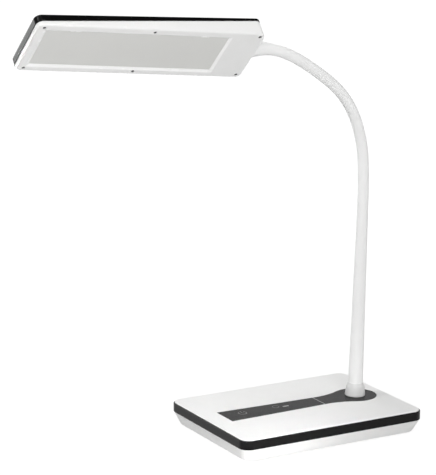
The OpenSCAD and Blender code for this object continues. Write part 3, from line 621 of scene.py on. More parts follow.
def opal_sheet(name):
    """Opal diffuser: soft, slightly warm, with a fine prism pattern in its bump."""
    prism_mm = 0.8
    warm, plain = (0.71, 0.71, 0.685), (0.69, 0.69, 0.67)
    material, tree, shader = start_material(name)
    cells = add_node(tree, "ShaderNodeTexVoronoi", {
        "Vector": add_node(tree, "ShaderNodeTexCoord").outputs["UV"], "Scale": 1 / (prism_mm * MM),
    }).outputs["Distance"]
    patches = place_group(tree, SMUDGES, Size=60.0, Amount=0.6)
    feed(tree, shader, {
        "Base Color": two_tones(tree, patches["Mask"], plain, warm),
        "Roughness": spread(tree, cells, 0.45, 0.6),
        "Normal": bump(tree, cells, 0.02, strength=0.25),
    })
    return material


board_green = tracks("board_green", (0.02, 0.09, 0.04), (0.05, 0.20, 0.09), 4.0)
board_white = tracks("board_white", (0.72, 0.73, 0.74), (0.62, 0.63, 0.64), 6.0)
opal = opal_sheet("opal_sheet")
phosphor = moulded("phosphor", ((0.80, 0.62, 0.10), (0.86, 0.70, 0.16)), (0.3, 0.4), 0.2, 0.01)
print("finishes", board_green.name, board_white.name, opal.name, phosphor.name)

# %% [markdown]
# The inner solids of the frame are right as they are, so they stay and only take a finish.
# Each one's slot in the record says which. Pieces that are remade below replace theirs later.

# %% Finishes on the solids that stay
slot_finish = {
    "white_plastic": white_shell,
    "black_gloss": black_gloss,
    "smoked_panel": smoked_sheet,
    "sleeve_white": soft_sleeve,
    "steel": steel,
    "brass": brass,
    "board_green": board_green,
    "board_metal": board_white,
    "led_yellow": phosphor,
    "opal": opal,
    "pad_rubber": pad_rubber,
    "wire_red": wire_red,
    "dark_plastic": dark_plastic,
    "screw_dark": screw_zinc,
}
node_slot = {entry["node"]: entry["material_slot"] for entry in frame["record"]["subparts"]}
for name, node in frame["nodes"].items():
    give_finish(node, slot_finish[node_slot[name]])
print("finished solids", len(node_slot))

# %% [markdown]
# The base is three shells. The black band stands between a white cover and a white undershell
# that draws in towards the table. All three follow one outline with round corners, drawn in by an
# inset, so each shell is a loft of one rounded profile of insets and heights.

# %% Base shells as lofts
base_corner_r = 10.5 * MM
least_corner_r = 1 * MM
band_wall = 3 * MM
seat_gap = 0.15 * MM


def base_rings(profile, corner=lambda inset, z: base_corner_r - inset):
    """Rings of the base's outline, drawn in by insets. corner gives the corner radius of each."""
    rings = []
    for inset, z in profile:
        radius = max(corner(inset, z), least_corner_r)
        rings.append(at_height(outline(base_l - 2 * inset, base_w - 2 * inset, radius), z))
    return rings


def make_band():
    soft = 0.7 * MM
    profile = rounded_profile([
        (band_wall, band_low.z, 0), (0, band_low.z, soft),
        (0, band_high.z, soft), (band_wall, band_high.z, 0),
    ])
    return loft("band", base_rings(profile), closed=True)


def make_cover():
    margin = 1.3 * MM
    soft = 1.1 * MM
    inside = band_wall + seat_gap
    profile = rounded_profile([
        (inside, cover_low_z, 0), (inside, band_high.z, 0), (margin, band_high.z, 0),
        (margin, cover_high.z, soft), (margin + 4 * soft, cover_high.z, 0),
    ])
    return loft("cover", base_rings(profile))


def make_undershell():
    foot_inset, top_inset, wall = 5 * MM, 0.5 * MM, 2.2 * MM
    foot_corner_r, top_corner_r = 12 * MM, base_corner_r - top_inset
    foot_soft, rim_soft, floor_soft = 1.2 * MM, 0.3 * MM, 1.0 * MM
    floor_z = shell_low.z + wall

    def corner(inset, z):
        share = (z - shell_low.z) / (band_low.z - shell_low.z)
        outer_inset = foot_inset + (top_inset - foot_inset) * share
        return foot_corner_r + (top_corner_r - foot_corner_r) * share - (inset - outer_inset)

    profile = rounded_profile([
        (foot_inset + 3 * wall, shell_low.z, 0), (foot_inset, shell_low.z, foot_soft),
        (top_inset, band_low.z, rim_soft), (top_inset + wall, band_low.z, rim_soft),
        (foot_inset + wall, floor_z, floor_soft), (foot_inset + 3 * wall, floor_z, 0),
    ])
    return loft("undershell", base_rings(profile, corner))


band, cover, undershell = make_band(), make_cover(), make_undershell()
print("base shells", len(band.data.polygons), len(cover.data.polygons), len(undershell.data.polygons))

# %% [markdown]
# The touch panel is let into the cover. Its outline is a strip that narrows from a square end,
# blends out through a wide arc and ends in a round pad under the neck. The same outline, grown by
# the fit, cuts the pocket in the cover, so panel and pocket always match.

# %% Touch panel and its pocket
panel_end_w = 31 * MM
panel_waist_w = 24 * MM
panel_blend_r = 62 * MM
panel_round_r = panel_high.x - neck_x
round_x = neck_foot.x
stud_hole_r = 4.15 * MM


def arc(middle_of_arc, radius, start, end, steps):
    """Points along an arc between two angles, in degrees."""
    turns = [math.radians(start + (end - start) * i / steps) for i in range(steps + 1)]
    return [middle_of_arc + radius * Vector((math.cos(t), math.sin(t))) for t in turns]


def panel_outline(grow):
    half = panel_waist_w / 2
    reach = panel_blend_r + panel_round_r
    blend_x = round_x - math.sqrt(reach ** 2 - (panel_blend_r + half) ** 2)
    blend_y = half + panel_blend_r
    meet = math.degrees(math.atan2(-blend_y, round_x - blend_x))
    upper = [Vector((panel_low.x - grow, panel_end_w / 2 + grow))]
    upper += arc(Vector((blend_x, blend_y)), panel_blend_r - grow, -90, meet, 24)
    upper += arc(Vector((round_x, 0)), panel_round_r + grow, meet + 180, 0, 40)[1:]
    lower = [Vector((p.x, -p.y)) for p in reversed(upper[:-1])]
    return list(reversed(upper + lower))


def stud_bore():
    """The hole for the neck's stud, right through panel and cover."""
    return rod("stud_hole", Matrix.Translation((neck_x, 0, 0)), stud_hole_r, 0, 2 * panel_high.z)


def make_panel():
    soft = 0.15 * MM
    steps = [
        (0, panel_low.z), (0, panel_high.z - soft),
        (-0.3 * soft, panel_high.z - 0.3 * soft), (-soft, panel_high.z),
    ]
    piece = loft("panel", [at_height(panel_outline(grow), z) for grow, z in steps])
    return carve(piece, [stud_bore()])


def cut_cover():
    pocket = prism("pocket", panel_outline(seat_gap), panel_low.z, 2 * panel_high.z)
    return carve(cover, [pocket, stud_bore()])


panel = smooth_edges(make_panel())
smooth_edges(cut_cover())
hand_over(panel, "base", smoked_sheet, ["touch_panel"])
hand_over(cover, "base", white_shell, ["base_top_cover"])
print("panel", len(panel.data.polygons), "faces, cover", len(cover.data.polygons))

# %% [markdown]
# The undershell has a counterbored hole for each of its four screws, and the band a round hole
# for the power inlet. All are cut with turned solids, made a little wider than what goes in them.

# %% Holes in undershell and band
inlet_mount = frame["record"]["mounts"][1]
inlet_place = Matrix.Translation(Vector(inlet_mount["pos_m"])) @ Matrix.Rotation(-math.pi / 2, 4, "X")
inlet_nose_r = 3.7 * MM
inlet_reach = 20 * MM
base_screw_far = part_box("base_screws")[1]
base_screw_head_r = 2.9 * MM
base_screw_r = 1.5 * MM
base_screw_head_h = 1 * MM
base_screw_points = [
    Vector((sx * (base_screw_far.x - base_screw_head_r), sy * (base_screw_far.y - base_screw_head_r),
            shell_low.z + base_screw_head_h))
    for sx in (-1, 1) for sy in (-1, 1)
]


def screw_bores(points, place, head_r, shank_r, low, high, sides=40):
    """Cutters for screws whose heads sit at points of a place: a counterbore and a hole for each."""
    cutters = []
    for point in points:
        here = place @ Matrix.Translation((point.x, point.y, 0))
        cutters.append(rod("bore", here, head_r + seat_gap, low, point.z, sides))
        cutters.append(rod("shank", here, shank_r + seat_gap, low, high, sides))
    return cutters


def cut_undershell():
    past_floor = 3 * base_screw_points[0].z
    return carve(undershell, screw_bores(
        base_screw_points, Matrix(), base_screw_head_r, base_screw_r, 0, past_floor,
    ))


def cut_band():
    return carve(band, [rod("inlet_hole", inlet_place, inlet_nose_r + seat_gap, 0, inlet_reach)])


smooth_edges(cut_undershell())
smooth_edges(cut_band())
hand_over(undershell, "base", white_shell, ["base_bottom_shell"])
hand_over(band, "base", black_gloss, ["base_band"])
print("undershell", len(undershell.data.polygons), "band", len(band.data.polygons))

# %% [markdown]
# Copies of one shape, such as screws and pad dots, are Geometry Nodes work.
# One tree puts a copy of an object on every point of a mesh, turns it, makes the copies real
# and gives them their finish. Shape, turn and finish are its inputs, so one tree serves every use.

# %% Geometry Nodes tree for copies on points
def geometry_tree(name, inputs):
    """A tree with a Geometry input and output, and named inputs as (name, socket type, value)."""
    tree = bpy.data.node_groups.new(name, "GeometryNodeTree")
    tree.interface.new_socket(name="Geometry", in_out="INPUT", socket_type="NodeSocketGeometry")
    tree.interface.new_socket(name="Geometry", in_out="OUTPUT", socket_type="NodeSocketGeometry")
    for socket, kind, value in inputs:
        made = tree.interface.new_socket(name=socket, in_out="INPUT", socket_type=kind)
        if value is not None:
            made.default_value = value
    return tree, tree.nodes.new("NodeGroupInput").outputs, tree.nodes.new("NodeGroupOutput")


def end_tree(tree, geometry, finish, out):
    """The last nodes of a tree: they make copies real, give the finish and pass the result on."""
    real = add_node(tree, "GeometryNodeRealizeInstances", {"Geometry": geometry})
    done = add_node(tree, "GeometryNodeSetMaterial", {
        "Geometry": real.outputs["Geometry"], "Material": finish,
    })
    feed(tree, out, {"Geometry": done.outputs["Geometry"]})
    return tree


def copies_tree():
    tree, given, out = geometry_tree("copies_on_points", [
        ("Shape", "NodeSocketObject", None),
        ("Turn", "NodeSocketRotation", None),
        ("Finish", "NodeSocketMaterial", None),
    ])
    shape = add_node(tree, "GeometryNodeObjectInfo", {"Object": given["Shape"]})
    placed = add_node(tree, "GeometryNodeInstanceOnPoints", {
        "Points": given["Geometry"], "Instance": shape.outputs["Geometry"], "Rotation": given["Turn"],
    })
    return end_tree(tree, placed.outputs["Instances"], given["Finish"], out)


def run_tree(piece, tree, values):
    """Runs a tree on a piece and keeps the result as its mesh."""
    modifier = piece.modifiers.new(tree.name, "NODES")
    modifier.node_group = tree
    for item in tree.interface.items_tree:
        if item.in_out == "INPUT" and item.name in values:
            modifier[item.identifier] = values[item.name]
    settle(piece)
    return piece


COPIES = copies_tree()


def copies(name, points, shape, turn, finish):
    """Copies of a shape on points, as one piece. The shape itself is removed."""
    piece = new_piece(name, points, [])
    run_tree(piece, COPIES, {"Shape": shape, "Turn": turn, "Finish": finish})
    bpy.data.objects.remove(shape)
    return piece


print("tree", COPIES.name)

# %% [markdown]
# A screw is turned from one profile: a domed head and a shank with thread ridges. The cross in
# its head is cut by two slots. It is made at the origin, head upwards, and then copied. Apart from
# axis_r, the small flat at the axis, the sizes below are shares of shank or head, to suit any screw.

# %% Screws
axis_r = 0.02 * MM
thread_pitch = 0.6
thread_root = 0.86
head_dome = ((0.55, 1), (0.9, 0.72), (1, 0.3), (1, 0))
slot_length, slot_floor = 1.2, 0.45


def screw_shape(head_r, head_h, shank_r, length, slot_w):
    """A pan-head screw: its head's seat is at height 0 and its shank points down."""
    pitch = shank_r * thread_pitch
    profile = [(axis_r, head_h)] + [(head_r * across, head_h * up) for across, up in head_dome]
    for i in range(int(length / pitch)):
        profile += [(shank_r * thread_root, -i * pitch), (shank_r, -(i + 0.5) * pitch)]
    profile.append((axis_r, -length))
    shape = lathe("screw", profile, Matrix(), sides=28)
    slots = []
    for turn in (0, math.pi / 2):
        slot = outline(head_r * slot_length, slot_w, slot_w / 4, 2)
        points = [Matrix.Rotation(turn, 2) @ p for p in slot]
        slots.append(prism("slot", points, head_h * slot_floor, 2 * head_h))
    return smooth_edges(carve(shape, slots))


def base_screws():
    length, slot_w = 10 * MM, 0.7 * MM
    shape = screw_shape(base_screw_head_r, base_screw_head_h, base_screw_r, length, slot_w)
    turn = Matrix.Rotation(math.pi, 4, "X").to_euler()
    return copies("base_screw_set", base_screw_points, shape, turn, steel)


hand_over(base_screws(), "base", steel, ["base_screws"])
print("base screws", len(base_screw_points))

# %% [markdown]
# Under the base lies a rubber pad with a field of small dots, which grip the table. A loop keeps
# the points of a grid that lie inside the pad's round outline, and the tree for copies puts a small
# dome on each. A bump would leave no gap between pad and table, so the dots are real meshes.

# %% Anti-slip pad
pad_l, pad_w = pad_high.x - pad_low.x, pad_high.y - pad_low.y
pad_corner_r = 24 * MM
dot_r = 1.6 * MM
dot_h = 0.5 * MM
dot_root = 0.1 * MM
dot_pitch = 6 * MM
dot_margin = dot_pitch * 0.7


def pad_dot_points():
    """Grid points that lie well inside the pad's outline."""
    count_x, count_y = int(pad_l / dot_pitch), int(pad_w / dot_pitch)
    points = []
    for i in range(count_x):
        for j in range(count_y):
            x = (i - (count_x - 1) / 2) * dot_pitch
            y = (j - (count_y - 1) / 2) * dot_pitch
            out_x = max(abs(x) - (pad_l / 2 - pad_corner_r), 0)
            out_y = max(abs(y) - (pad_w / 2 - pad_corner_r), 0)
            if math.hypot(out_x, out_y) < pad_corner_r - dot_margin:
                points.append(Vector((x, y, pad_low.z + dot_h)))
    return points


def make_pad():
    soft = 0.5 * MM
    low, inner = pad_low.z + dot_h, pad_corner_r / 2
    profile = rounded_profile([
        (inner, low, 0), (0, low, soft), (0, pad_high.z, soft), (inner, pad_high.z, 0),
    ])
    rings = [at_height(outline(pad_l - 2 * inset, pad_w - 2 * inset, pad_corner_r - inset), z)
             for inset, z in profile]
    return smooth_edges(loft("pad", rings))


def make_dots():
    profile = [
        (dot_r, dot_root), (dot_r, 0), (dot_r * 0.9, -dot_h * 0.7), (dot_r * 0.5, -dot_h), (axis_r, -dot_h),
    ]
    dome = lathe("dot", profile, Matrix(), sides=12)
    dome.data.shade_smooth()
    return copies("pad_dots", pad_dot_points(), dome, (0, 0, 0), pad_rubber)


hand_over(make_pad(), "base", pad_rubber, ["base_pad"])
hand_over(make_dots(), "base", pad_rubber, [])
print("pad dots", len(pad_dot_points()))

# %% [markdown]
# The marks on the touch panel are faint prints: a plain power sign, a ring, a dash and a hairline
# across the strip. Each is a thin plate that stands a few hundredths of a millimetre proud.

# %% Marks on the panel
print_h = 0.03 * MM
sign_at, sign_r, sign_w = Vector((-59 * MM, 2 * MM)), 4 * MM, 1.1 * MM
bar_low, bar_high = Vector((0, 1 * MM)), Vector((0, 5.5 * MM))
ring_at, ring_r, ring_w = Vector((-21 * MM, 4 * MM)), 3.2 * MM, 0.6 * MM
dash_at, dash_half, dash_w = Vector((-11.5 * MM, 1 * MM)), Vector((3.3 * MM, 0)), 2 * MM
line_at, line_half, line_w = Vector((25.8 * MM, 0)), Vector((0, 11.9 * MM)), 0.9 * MM
faint_print = moulded("faint_print", grey(0.12, 0.14), (0.4, 0.5), 0.3, 0.004)
light_print = moulded("light_print", grey(0.34, 0.38), (0.4, 0.5), 0.3, 0.004)


def flat_stroke(name, points, width):
    """A thin plate along a line of points on the panel."""
    left, right = [], []
    for i, point in enumerate(points):
        ahead = points[min(i + 1, len(points) - 1)] - points[max(i - 1, 0)]
        side = Vector((-ahead.y, ahead.x)).normalized() * width / 2
        left.append(point + side)
        right.append(point - side)
    return prism(name, right + list(reversed(left)), panel_high.z - print_h, panel_high.z + print_h)


def make_marks():
    strokes = {
        "power_arc": (arc(sign_at, sign_r, 125, 415, 32), sign_w, faint_print),
        "power_bar": ([sign_at + bar_low, sign_at + bar_high], sign_w, faint_print),
        "dimmer_arc": (arc(ring_at, ring_r, 0, 340, 32), ring_w, faint_print),
        "dimmer_dash": ([dash_at - dash_half, dash_at + dash_half], dash_w, light_print),
        "hairline": ([line_at - line_half, line_at + line_half], line_w, light_print),
    }
    for name, (points, width, finish) in strokes.items():
        hand_over(flat_stroke(name, points, width), "base", finish, [])
    return len(strokes)


print("panel marks", make_marks())

# %% [markdown]
# The power inlet's housing stays, and gets a bright centre pin in its mouth, which is metal on the
# real part. It is turned, with a rounded tip, and a hair wider than the solid's own pin to cover it.

# %% Power inlet pin
inlet_pin_r = inlet_mount["dims"]["r_mm"] * MM
inlet_pin_l = inlet_mount["dims"]["length_mm"] * MM


def make_inlet_pin():
    inner_r, skin, tip_past, tip_soft = 0.05 * MM, 0.04 * MM, 0.05 * MM, 0.35 * MM
    radius = inlet_pin_r + skin
    foot, tip = -inlet_pin_l / 2, inlet_pin_l / 2 + tip_past
    profile = rounded_profile([
        (inner_r, foot, 0), (radius, foot, 0), (radius, tip, tip_soft), (inner_r, tip, 0),
    ])
    return smooth_edges(lathe("inlet_pin", profile, inlet_place, sides=32))


hand_over(make_inlet_pin(), "base", steel, [])
print("inlet pin", round(inlet_pin_l / MM, 1), "mm long")

# %% [markdown]
# The gooseneck is one soft sleeve over a wound steel core with a wire inside. Its middle line
# runs through the joints of the frame. Between two joints it is an arc: the direction at the end
# of an arc is the direction at its start mirrored about the chord, so the joints give it all.

# %% Middle line of the neck
path_step = 1 * MM
even_reach = 3.5 * MM
even_passes = round(4 * (even_reach / path_step) ** 2)
straight_turn = 1e-4
ferrule_l = 14 * MM
neck_end = head_at + head_axis.normalized() * ferrule_l
stops = [neck_foot] + [Vector(joint["pos_m"]) for joint in bend_joints] + [neck_end]


def arc_between(start, end, heading):
    """Points from start to end along an arc that leaves start in a heading, and the last heading."""
    chord = end - start
    along_chord = chord.normalized()
    last = 2 * along_chord * along_chord.dot(heading) - heading
    turn = heading.angle(last)
    count = round(chord.length / path_step)
    if turn < straight_turn:
        return [start + chord * i / count for i in range(count)], last
    side = (last - heading * heading.dot(last)).normalized()
    radius = chord.length / 2 / math.sin(turn / 2)
    bends = [turn * i / count for i in range(count)]
    return [start + radius * (math.sin(b) * heading + (1 - math.cos(b)) * side) for b in bends], last


def neck_path():
    """Points along the neck, evened out so that no bend is sudden."""
    points = []
    for i, (start, end) in enumerate(zip(stops, stops[1:])):
        if i < 2:
            heading = (end - start).normalized()
        more, heading = arc_between(start, end, heading)
        points += more
    points.append(stops[-1])
    for _ in range(even_passes):
        inner = [(a + 2 * b + c) / 4 for a, b, c in zip(points, points[1:], points[2:])]
        points = [points[0]] + inner + [points[-1]]
    return points


path = neck_path()
along = [0.0]
for a, b in zip(path, path[1:]):
    along.append(along[-1] + (b - a).length)
print("neck", round(along[-1] / MM), "mm long,", len(path), "points")

# %% [markdown]
# A tube that tapers along a path is a rule, so it is a Geometry Nodes tree: the path's own
# distance sets the radius, and Curve to Mesh skins it. A ripple input makes the wound core from
# the same tree, and a flare input widens the last stretch before the head. The distance stays on
# the mesh as an attribute, which is used to divide it.

# %% Geometry Nodes tree for tapered tubes
def tube_tree():
    tree, given, out = geometry_tree("tapered_tube", [
        ("Foot radius", "NodeSocketFloat", 0.007),
        ("Top radius", "NodeSocketFloat", 0.005),
        ("Taper length", "NodeSocketFloat", 0.2),
        ("Ripple pitch", "NodeSocketFloat", 0.002),
        ("Ripple depth", "NodeSocketFloat", 0.0),
        ("Whole length", "NodeSocketFloat", 0.4),
        ("Flare length", "NodeSocketFloat", 0.02),
        ("Flare", "NodeSocketFloat", 0.0),
        ("Sides", "NodeSocketInt", 48),
        ("Finish", "NodeSocketMaterial", None),
    ])
    named = add_node(tree, "GeometryNodeInputNamedAttribute", {"Name": "along"}, data_type="FLOAT")
    distance = named.outputs["Attribute"]
    taper = map_range(tree, distance, 0.0, given["Taper length"], given["Foot radius"], given["Top radius"])
    wave = math_node(tree, "PINGPONG", math_node(tree, "DIVIDE", distance, given["Ripple pitch"]), 0.5)
    rippled = math_node(tree, "SUBTRACT", taper, math_node(tree, "MULTIPLY", wave, given["Ripple depth"]))
    rest = math_node(tree, "SUBTRACT", given["Whole length"], distance)
    share = math_node(tree, "SUBTRACT", 1.0, math_node(tree, "DIVIDE", rest, given["Flare length"]))
    near_end = math_node(tree, "MAXIMUM", share, 0.0)
    flare = math_node(tree, "MULTIPLY", math_node(tree, "MULTIPLY", near_end, near_end), given["Flare"])
    line = add_node(tree, "GeometryNodeMeshToCurve", {"Mesh": given["Geometry"]})
    circle = add_node(tree, "GeometryNodeCurvePrimitiveCircle", {"Resolution": given["Sides"], "Radius": 1.0})
    skin = add_node(tree, "GeometryNodeCurveToMesh", {
        "Curve": line.outputs["Curve"],
        "Profile Curve": circle.outputs["Curve"],
        "Scale": math_node(tree, "ADD", rippled, flare),
    })
    return end_tree(tree, skin.outputs["Mesh"], given["Finish"], out)


TUBE = tube_tree()
print("tree", TUBE.name)

# %% [markdown]
# Sleeve, core and wire are the same kind of tube at three sizes, so one function runs the tree for
# each. The path goes in as a mesh of edges, and carries its own distance as an attribute.

# %% Sleeve, core and wire as whole tubes
sleeve_foot_r, sleeve_top_r = 7.4 * MM, 5.4 * MM
core_r, lead_r = 3.2 * MM, 0.9 * MM
wind_pitch, wind_depth = 4 * MM, 0.2 * MM
end_flare, flare_l = 3.9 * MM, 32 * MM
taper_l = stops[4].z - stops[0].z


def whole_tube(name, foot_r, top_r, sides, finish, ripple=0.0, flare=0.0):
    """The full length of one tube of the neck, as rings along the path."""
    mesh = bpy.data.meshes.new(name)
    mesh.from_pydata([tuple(p) for p in path], [(i, i + 1) for i in range(len(path) - 1)], [])
    mesh.attributes.new("along", "FLOAT", "POINT").data.foreach_set("value", along)
    return run_tree(put(name, mesh), TUBE, {
        "Foot radius": foot_r, "Top radius": top_r, "Taper length": taper_l,
        "Ripple pitch": wind_pitch, "Ripple depth": 2 * ripple,
        "Whole length": along[-1] + ferrule_l, "Flare length": flare_l, "Flare": flare,
        "Sides": sides, "Finish": finish,
    })


sleeve = whole_tube("sleeve", sleeve_foot_r, sleeve_top_r, 80, soft_sleeve, flare=end_flare)
core = whole_tube("core", core_r, core_r, 24, steel, ripple=wind_depth)
lead = whole_tube("lead", lead_r, lead_r, 12, wire_red)
print("sleeve", len(sleeve.data.polygons), "core", len(core.data.polygons), "wire", len(lead.data.polygons))

# %% [markdown]
# The tubes are divided in the middle of each section, between two joints, where no joint bends it.
# Each length then crosses one joint.
# A Solidify modifier gives each length its wall, and closes its ends.

# %% Lengths of the neck, one over each joint
tube_wall, lead_wall = 1.9 * MM, 0.5 * MM
joint_along = [min(range(len(path)), key=lambda i: (path[i] - stop).length) for stop in stops]
cuts = [0] + [(a + b) // 2 for a, b in zip(joint_along[1:-2], joint_along[2:-1])] + [len(path) - 1]
cut_slack = MM / 100
tube_sharp = 50


def tube_lengths(tube, wall):
    """Divides a tube at the cuts and gives each length a wall. Returns one piece for each joint."""
    distances = [value.value for value in tube.data.attributes["along"].data]
    lengths = []
    for k, (first, last) in enumerate(zip(cuts, cuts[1:])):
        work = bmesh.new()
        work.from_mesh(tube.data)
        low, high = along[first] - cut_slack, along[last] + cut_slack
        stray = [v for v in work.verts if not low <= distances[v.index] <= high]
        bmesh.ops.delete(work, geom=stray, context="VERTS")
        mesh = bpy.data.meshes.new(f"{tube.name}_{k + 1}")
        work.to_mesh(mesh)
        work.free()
        piece = put(mesh.name, mesh)
        thick = piece.modifiers.new("wall", "SOLIDIFY")
        thick.thickness = wall
        thick.offset = -1
        settle(piece)
        face_outwards(piece.data)
        piece.data.shade_smooth()
        piece.data.set_sharp_from_angle(angle=math.radians(tube_sharp))
        lengths.append(piece)
    bpy.data.objects.remove(tube)
    return lengths


def blend_over_joint(piece):
    """Makes the place of a length of the neck part of its mesh."""
    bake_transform(piece)


def divide_layer(name, tube, wall, finish):
    """One layer of the neck as lengths. The first also stands for the section fixed in the base."""
    for k, piece in enumerate(tube_lengths(tube, wall)):
        give_finish(piece, finish)
        blend_over_joint(piece)
        first = [f"neck_{name}_1"] if k == 0 else []
        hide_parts(*first, f"neck_{name}_{k + 2}")


divide_layer("sleeve", sleeve, tube_wall, soft_sleeve)
divide_layer("core", core, tube_wall, steel)
divide_layer("lead", lead, lead_wall, wire_red)
print("lengths of the neck", len(cuts) - 1)

# %% [markdown]
# At its foot the neck stands in a white collar with a soft shoulder. At its top the sleeve begins
# to flare, and a short ferrule carries the same flare on to the head, so both read as one form.
# Collar and ferrule are turned pieces. One has a bore for the sleeve, the other for the spigot.

# %% Collar and ferrule
turned_sharp = 40


def make_collar():
    foot_r, top_r, shoulder = 10 * MM, 9.1 * MM, 4.2 * MM
    foot_soft, side_soft, shoulder_soft = 0.3 * MM, 1.0 * MM, 2.5 * MM
    undercut, side_h, lip, lip_drop = 0.2 * MM, 1.2 * MM, 0.15 * MM, 0.1 * MM
    h = collar_high.z - collar_low.z
    bore_foot, bore_top = sleeve_foot_r + seat_gap, 7.3 * MM
    profile = rounded_profile([
        (bore_foot, 0, 0), (foot_r - undercut, 0, foot_soft), (foot_r, side_h, side_soft),
        (top_r, h - shoulder, shoulder_soft), (bore_top + lip, h, 0), (bore_top, h - lip_drop, 0),
    ])
    lean = Vector((0, 0, 1)).rotation_difference(neck_lean).to_matrix().to_4x4()
    place = Matrix.Translation(stops[0]) @ lean
    return smooth_edges(lathe("collar", profile, place, closed=True), turned_sharp)


def make_ferrule():
    gap, bore, steps = 0.3 * MM, 4.15 * MM, 14
    place = neck_end_place @ Matrix.Rotation(math.pi / 2, 4, "Y")
    profile = [(bore, gap)]
    for i in range(steps + 1):
        reach = gap + (ferrule_l - gap) * i / steps
        profile.append((sleeve_top_r + end_flare * (1 - reach / flare_l) ** 2, reach))
    profile.append((bore, ferrule_l))
    return smooth_edges(lathe("ferrule", profile, place, closed=True, sides=56), turned_sharp)


hand_over(make_collar(), "base", collar_white, ["neck_collar"])
hand_over(make_ferrule(), bend_joints[-1]["child"], soft_sleeve, ["neck_ferrule"])
print("collar and ferrule ready")

# %% [markdown]
# The head is a shallow wedge: thin at its tip and thicker at the neck. Its shells are made flat,
# in the head's own axes, and then carried to their place by one matrix. The split between white
# and black runs on a slant, so the rings of these lofts lie on slanting planes.

# %% Head sizes and slanting rings
head_l, head_w = 229 * MM, 65 * MM
head_corner_r = 6 * MM
head_under = 10.1 * MM
tip_white, root_white = 3.9 * MM, 15.7 * MM
tip_t, root_t = 11 * MM, 18.6 * MM
head_draft = 0.8 * MM
head_proud = 0.2 * MM
head_wall = 1.6 * MM
head_floor = 2 * MM


def slant(tip_h, root_h, lift=0.0):
    """Height above the swivel axis of a plane that slants along the head, lifted by a little."""
    return lambda x: -head_under + root_h + (root_h - tip_h) * x / head_l + lift


def level(z):
    return lambda x: z


def head_ring(inset, draw, height):
    """Outline of the head, drawn in all round by inset and by draw away from the neck end."""
    length, width = head_l - 2 * inset - draw, head_w - 2 * inset - 2 * draw
    radius = max(head_corner_r - inset - draw / 2, least_corner_r)
    centre_x = -head_l / 2 + draw / 2
    ring = []
    for p in outline(length, width, radius):
        x = centre_x + p.x
        ring.append(head_place @ Vector((x, p.y, height(x))))
    return ring


print("head", round(head_l / MM), "by", round(head_w / MM), "mm")

# %% [markdown]
# The underside of the head has a long window and six screws. Window, bevel, pocket and trim all
# follow one outline, grown more or less, so two helpers give its rings at any size and height.

# %% Window and screws of the head
window_root, window_tip, window_side = 35 * MM, 11 * MM, 9.6 * MM
window_l = head_l - window_root - window_tip
window_w = head_w - 2 * window_side
window_x = -window_root - window_l / 2
window_corner_r, corner_growth, window_ledge = 0.4 * MM, 0.2, 2 * MM
window_recess, bevel_w, bevel_d = 1.6 * MM, 2.4 * MM, 1.3 * MM
spigot_hole_r, spigot_hole_low, spigot_hole_high = 4.3 * MM, -4 * MM, 2 * MM
head_screw_head_r, head_screw_r, head_screw_head_h = 1.6 * MM, 0.9 * MM, 0.7 * MM
head_screw_sunk = 0.4 * MM
head_screw_seat = -head_under + head_screw_sunk + head_screw_head_h
head_screw_root, head_screw_tip, head_screw_side = 5 * MM, 7.5 * MM, 5.1 * MM
head_screw_points = [
    Vector((x, side * (head_w / 2 - head_screw_side), head_screw_seat))
    for x in (-head_screw_root, -(head_screw_root + head_l - head_screw_tip) / 2, head_screw_tip - head_l)
    for side in (-1, 1)
]


def window_ring(grow, z, corner_r):
    """Outline of the window, grown all round, at a height above the swivel axis."""
    points = outline(window_l + 2 * grow, window_w + 2 * grow, corner_r, 4)
    return [head_place @ Vector((window_x + p.x, p.y, z)) for p in points]


def bevel_ring(grow, z):
    """Outline of the window whose corners open as it grows. z counts from the underside."""
    return window_ring(grow, -head_under + z, window_corner_r + grow * corner_growth)


print("window", round(window_l / MM), "by", round(window_w / MM), "mm")

# %% [markdown]
# The lower shell is a tray with a rounded rim, a bevelled window and six screw holes. The bevel
# catches the light along the lower side of the window, and the rounded rim darkens as it turns
# under, which is how the underside reads as moulded. A thin frame on the bevel carries a painted
# highlight: its finish is brighter than the shell, to add to the light the bevel catches.

# %% Lower shell of the head
def make_lower_shell():
    edge = 1.6 * MM
    rim_draft = 0.35 * head_draft
    inside = head_proud + head_wall
    bottom, floor, top = level(-head_under), level(-head_under + head_floor), slant(tip_white, root_white)
    rings = [head_ring(head_proud, head_draft + 3 * edge, bottom)]
    for across, up in quarter_round(6):
        rings.append(head_ring(head_proud, head_draft + edge * across, level(-head_under + edge * up)))
    rings += [
        head_ring(head_proud, rim_draft, top),
        head_ring(inside, rim_draft, top),
        head_ring(inside, head_draft, floor),
        head_ring(inside, head_draft + 2 * edge, floor),
    ]
    return loft("lower_shell", rings)


def cut_lower_shell(shell):
    """Cuts window, screw holes, the diffuser's pocket and the spigot's hole."""
    past = 0.5  # how far the bevel's cutter goes on below the underside, as a share of the bevel
    opening = loft("window", [
        bevel_ring(bevel_w * (1 + past), -bevel_d * past), bevel_ring(0, bevel_d), bevel_ring(0, head_under),
    ])
    bores = screw_bores(
        head_screw_points, head_place, head_screw_head_r, head_screw_r, -2 * head_under, -head_under / 2, 28,
    )
    pocket = loft("pocket", [
        window_ring(window_ledge, z, window_corner_r) for z in (-head_under + window_recess, 0)
    ])
    through = head_place @ Matrix.Rotation(math.pi / 2, 4, "Y")
    spigot_hole = rod("spigot_hole", through, spigot_hole_r, spigot_hole_low, spigot_hole_high)
    return carve(shell, [opening, *bores, pocket, spigot_hole])


def make_window_highlight_trim():
    """A thin frame on the window's bevel with a painted highlight: its brighter finish stands in for the light the
    bevel catches.
    """
    skin = 0.04 * MM
    steps = ((0, bevel_d), (bevel_w, 0), (bevel_w, -skin), (-skin, bevel_d - skin))
    return smooth_edges(loft("window_trim", [bevel_ring(grow, z) for grow, z in steps], closed=True))


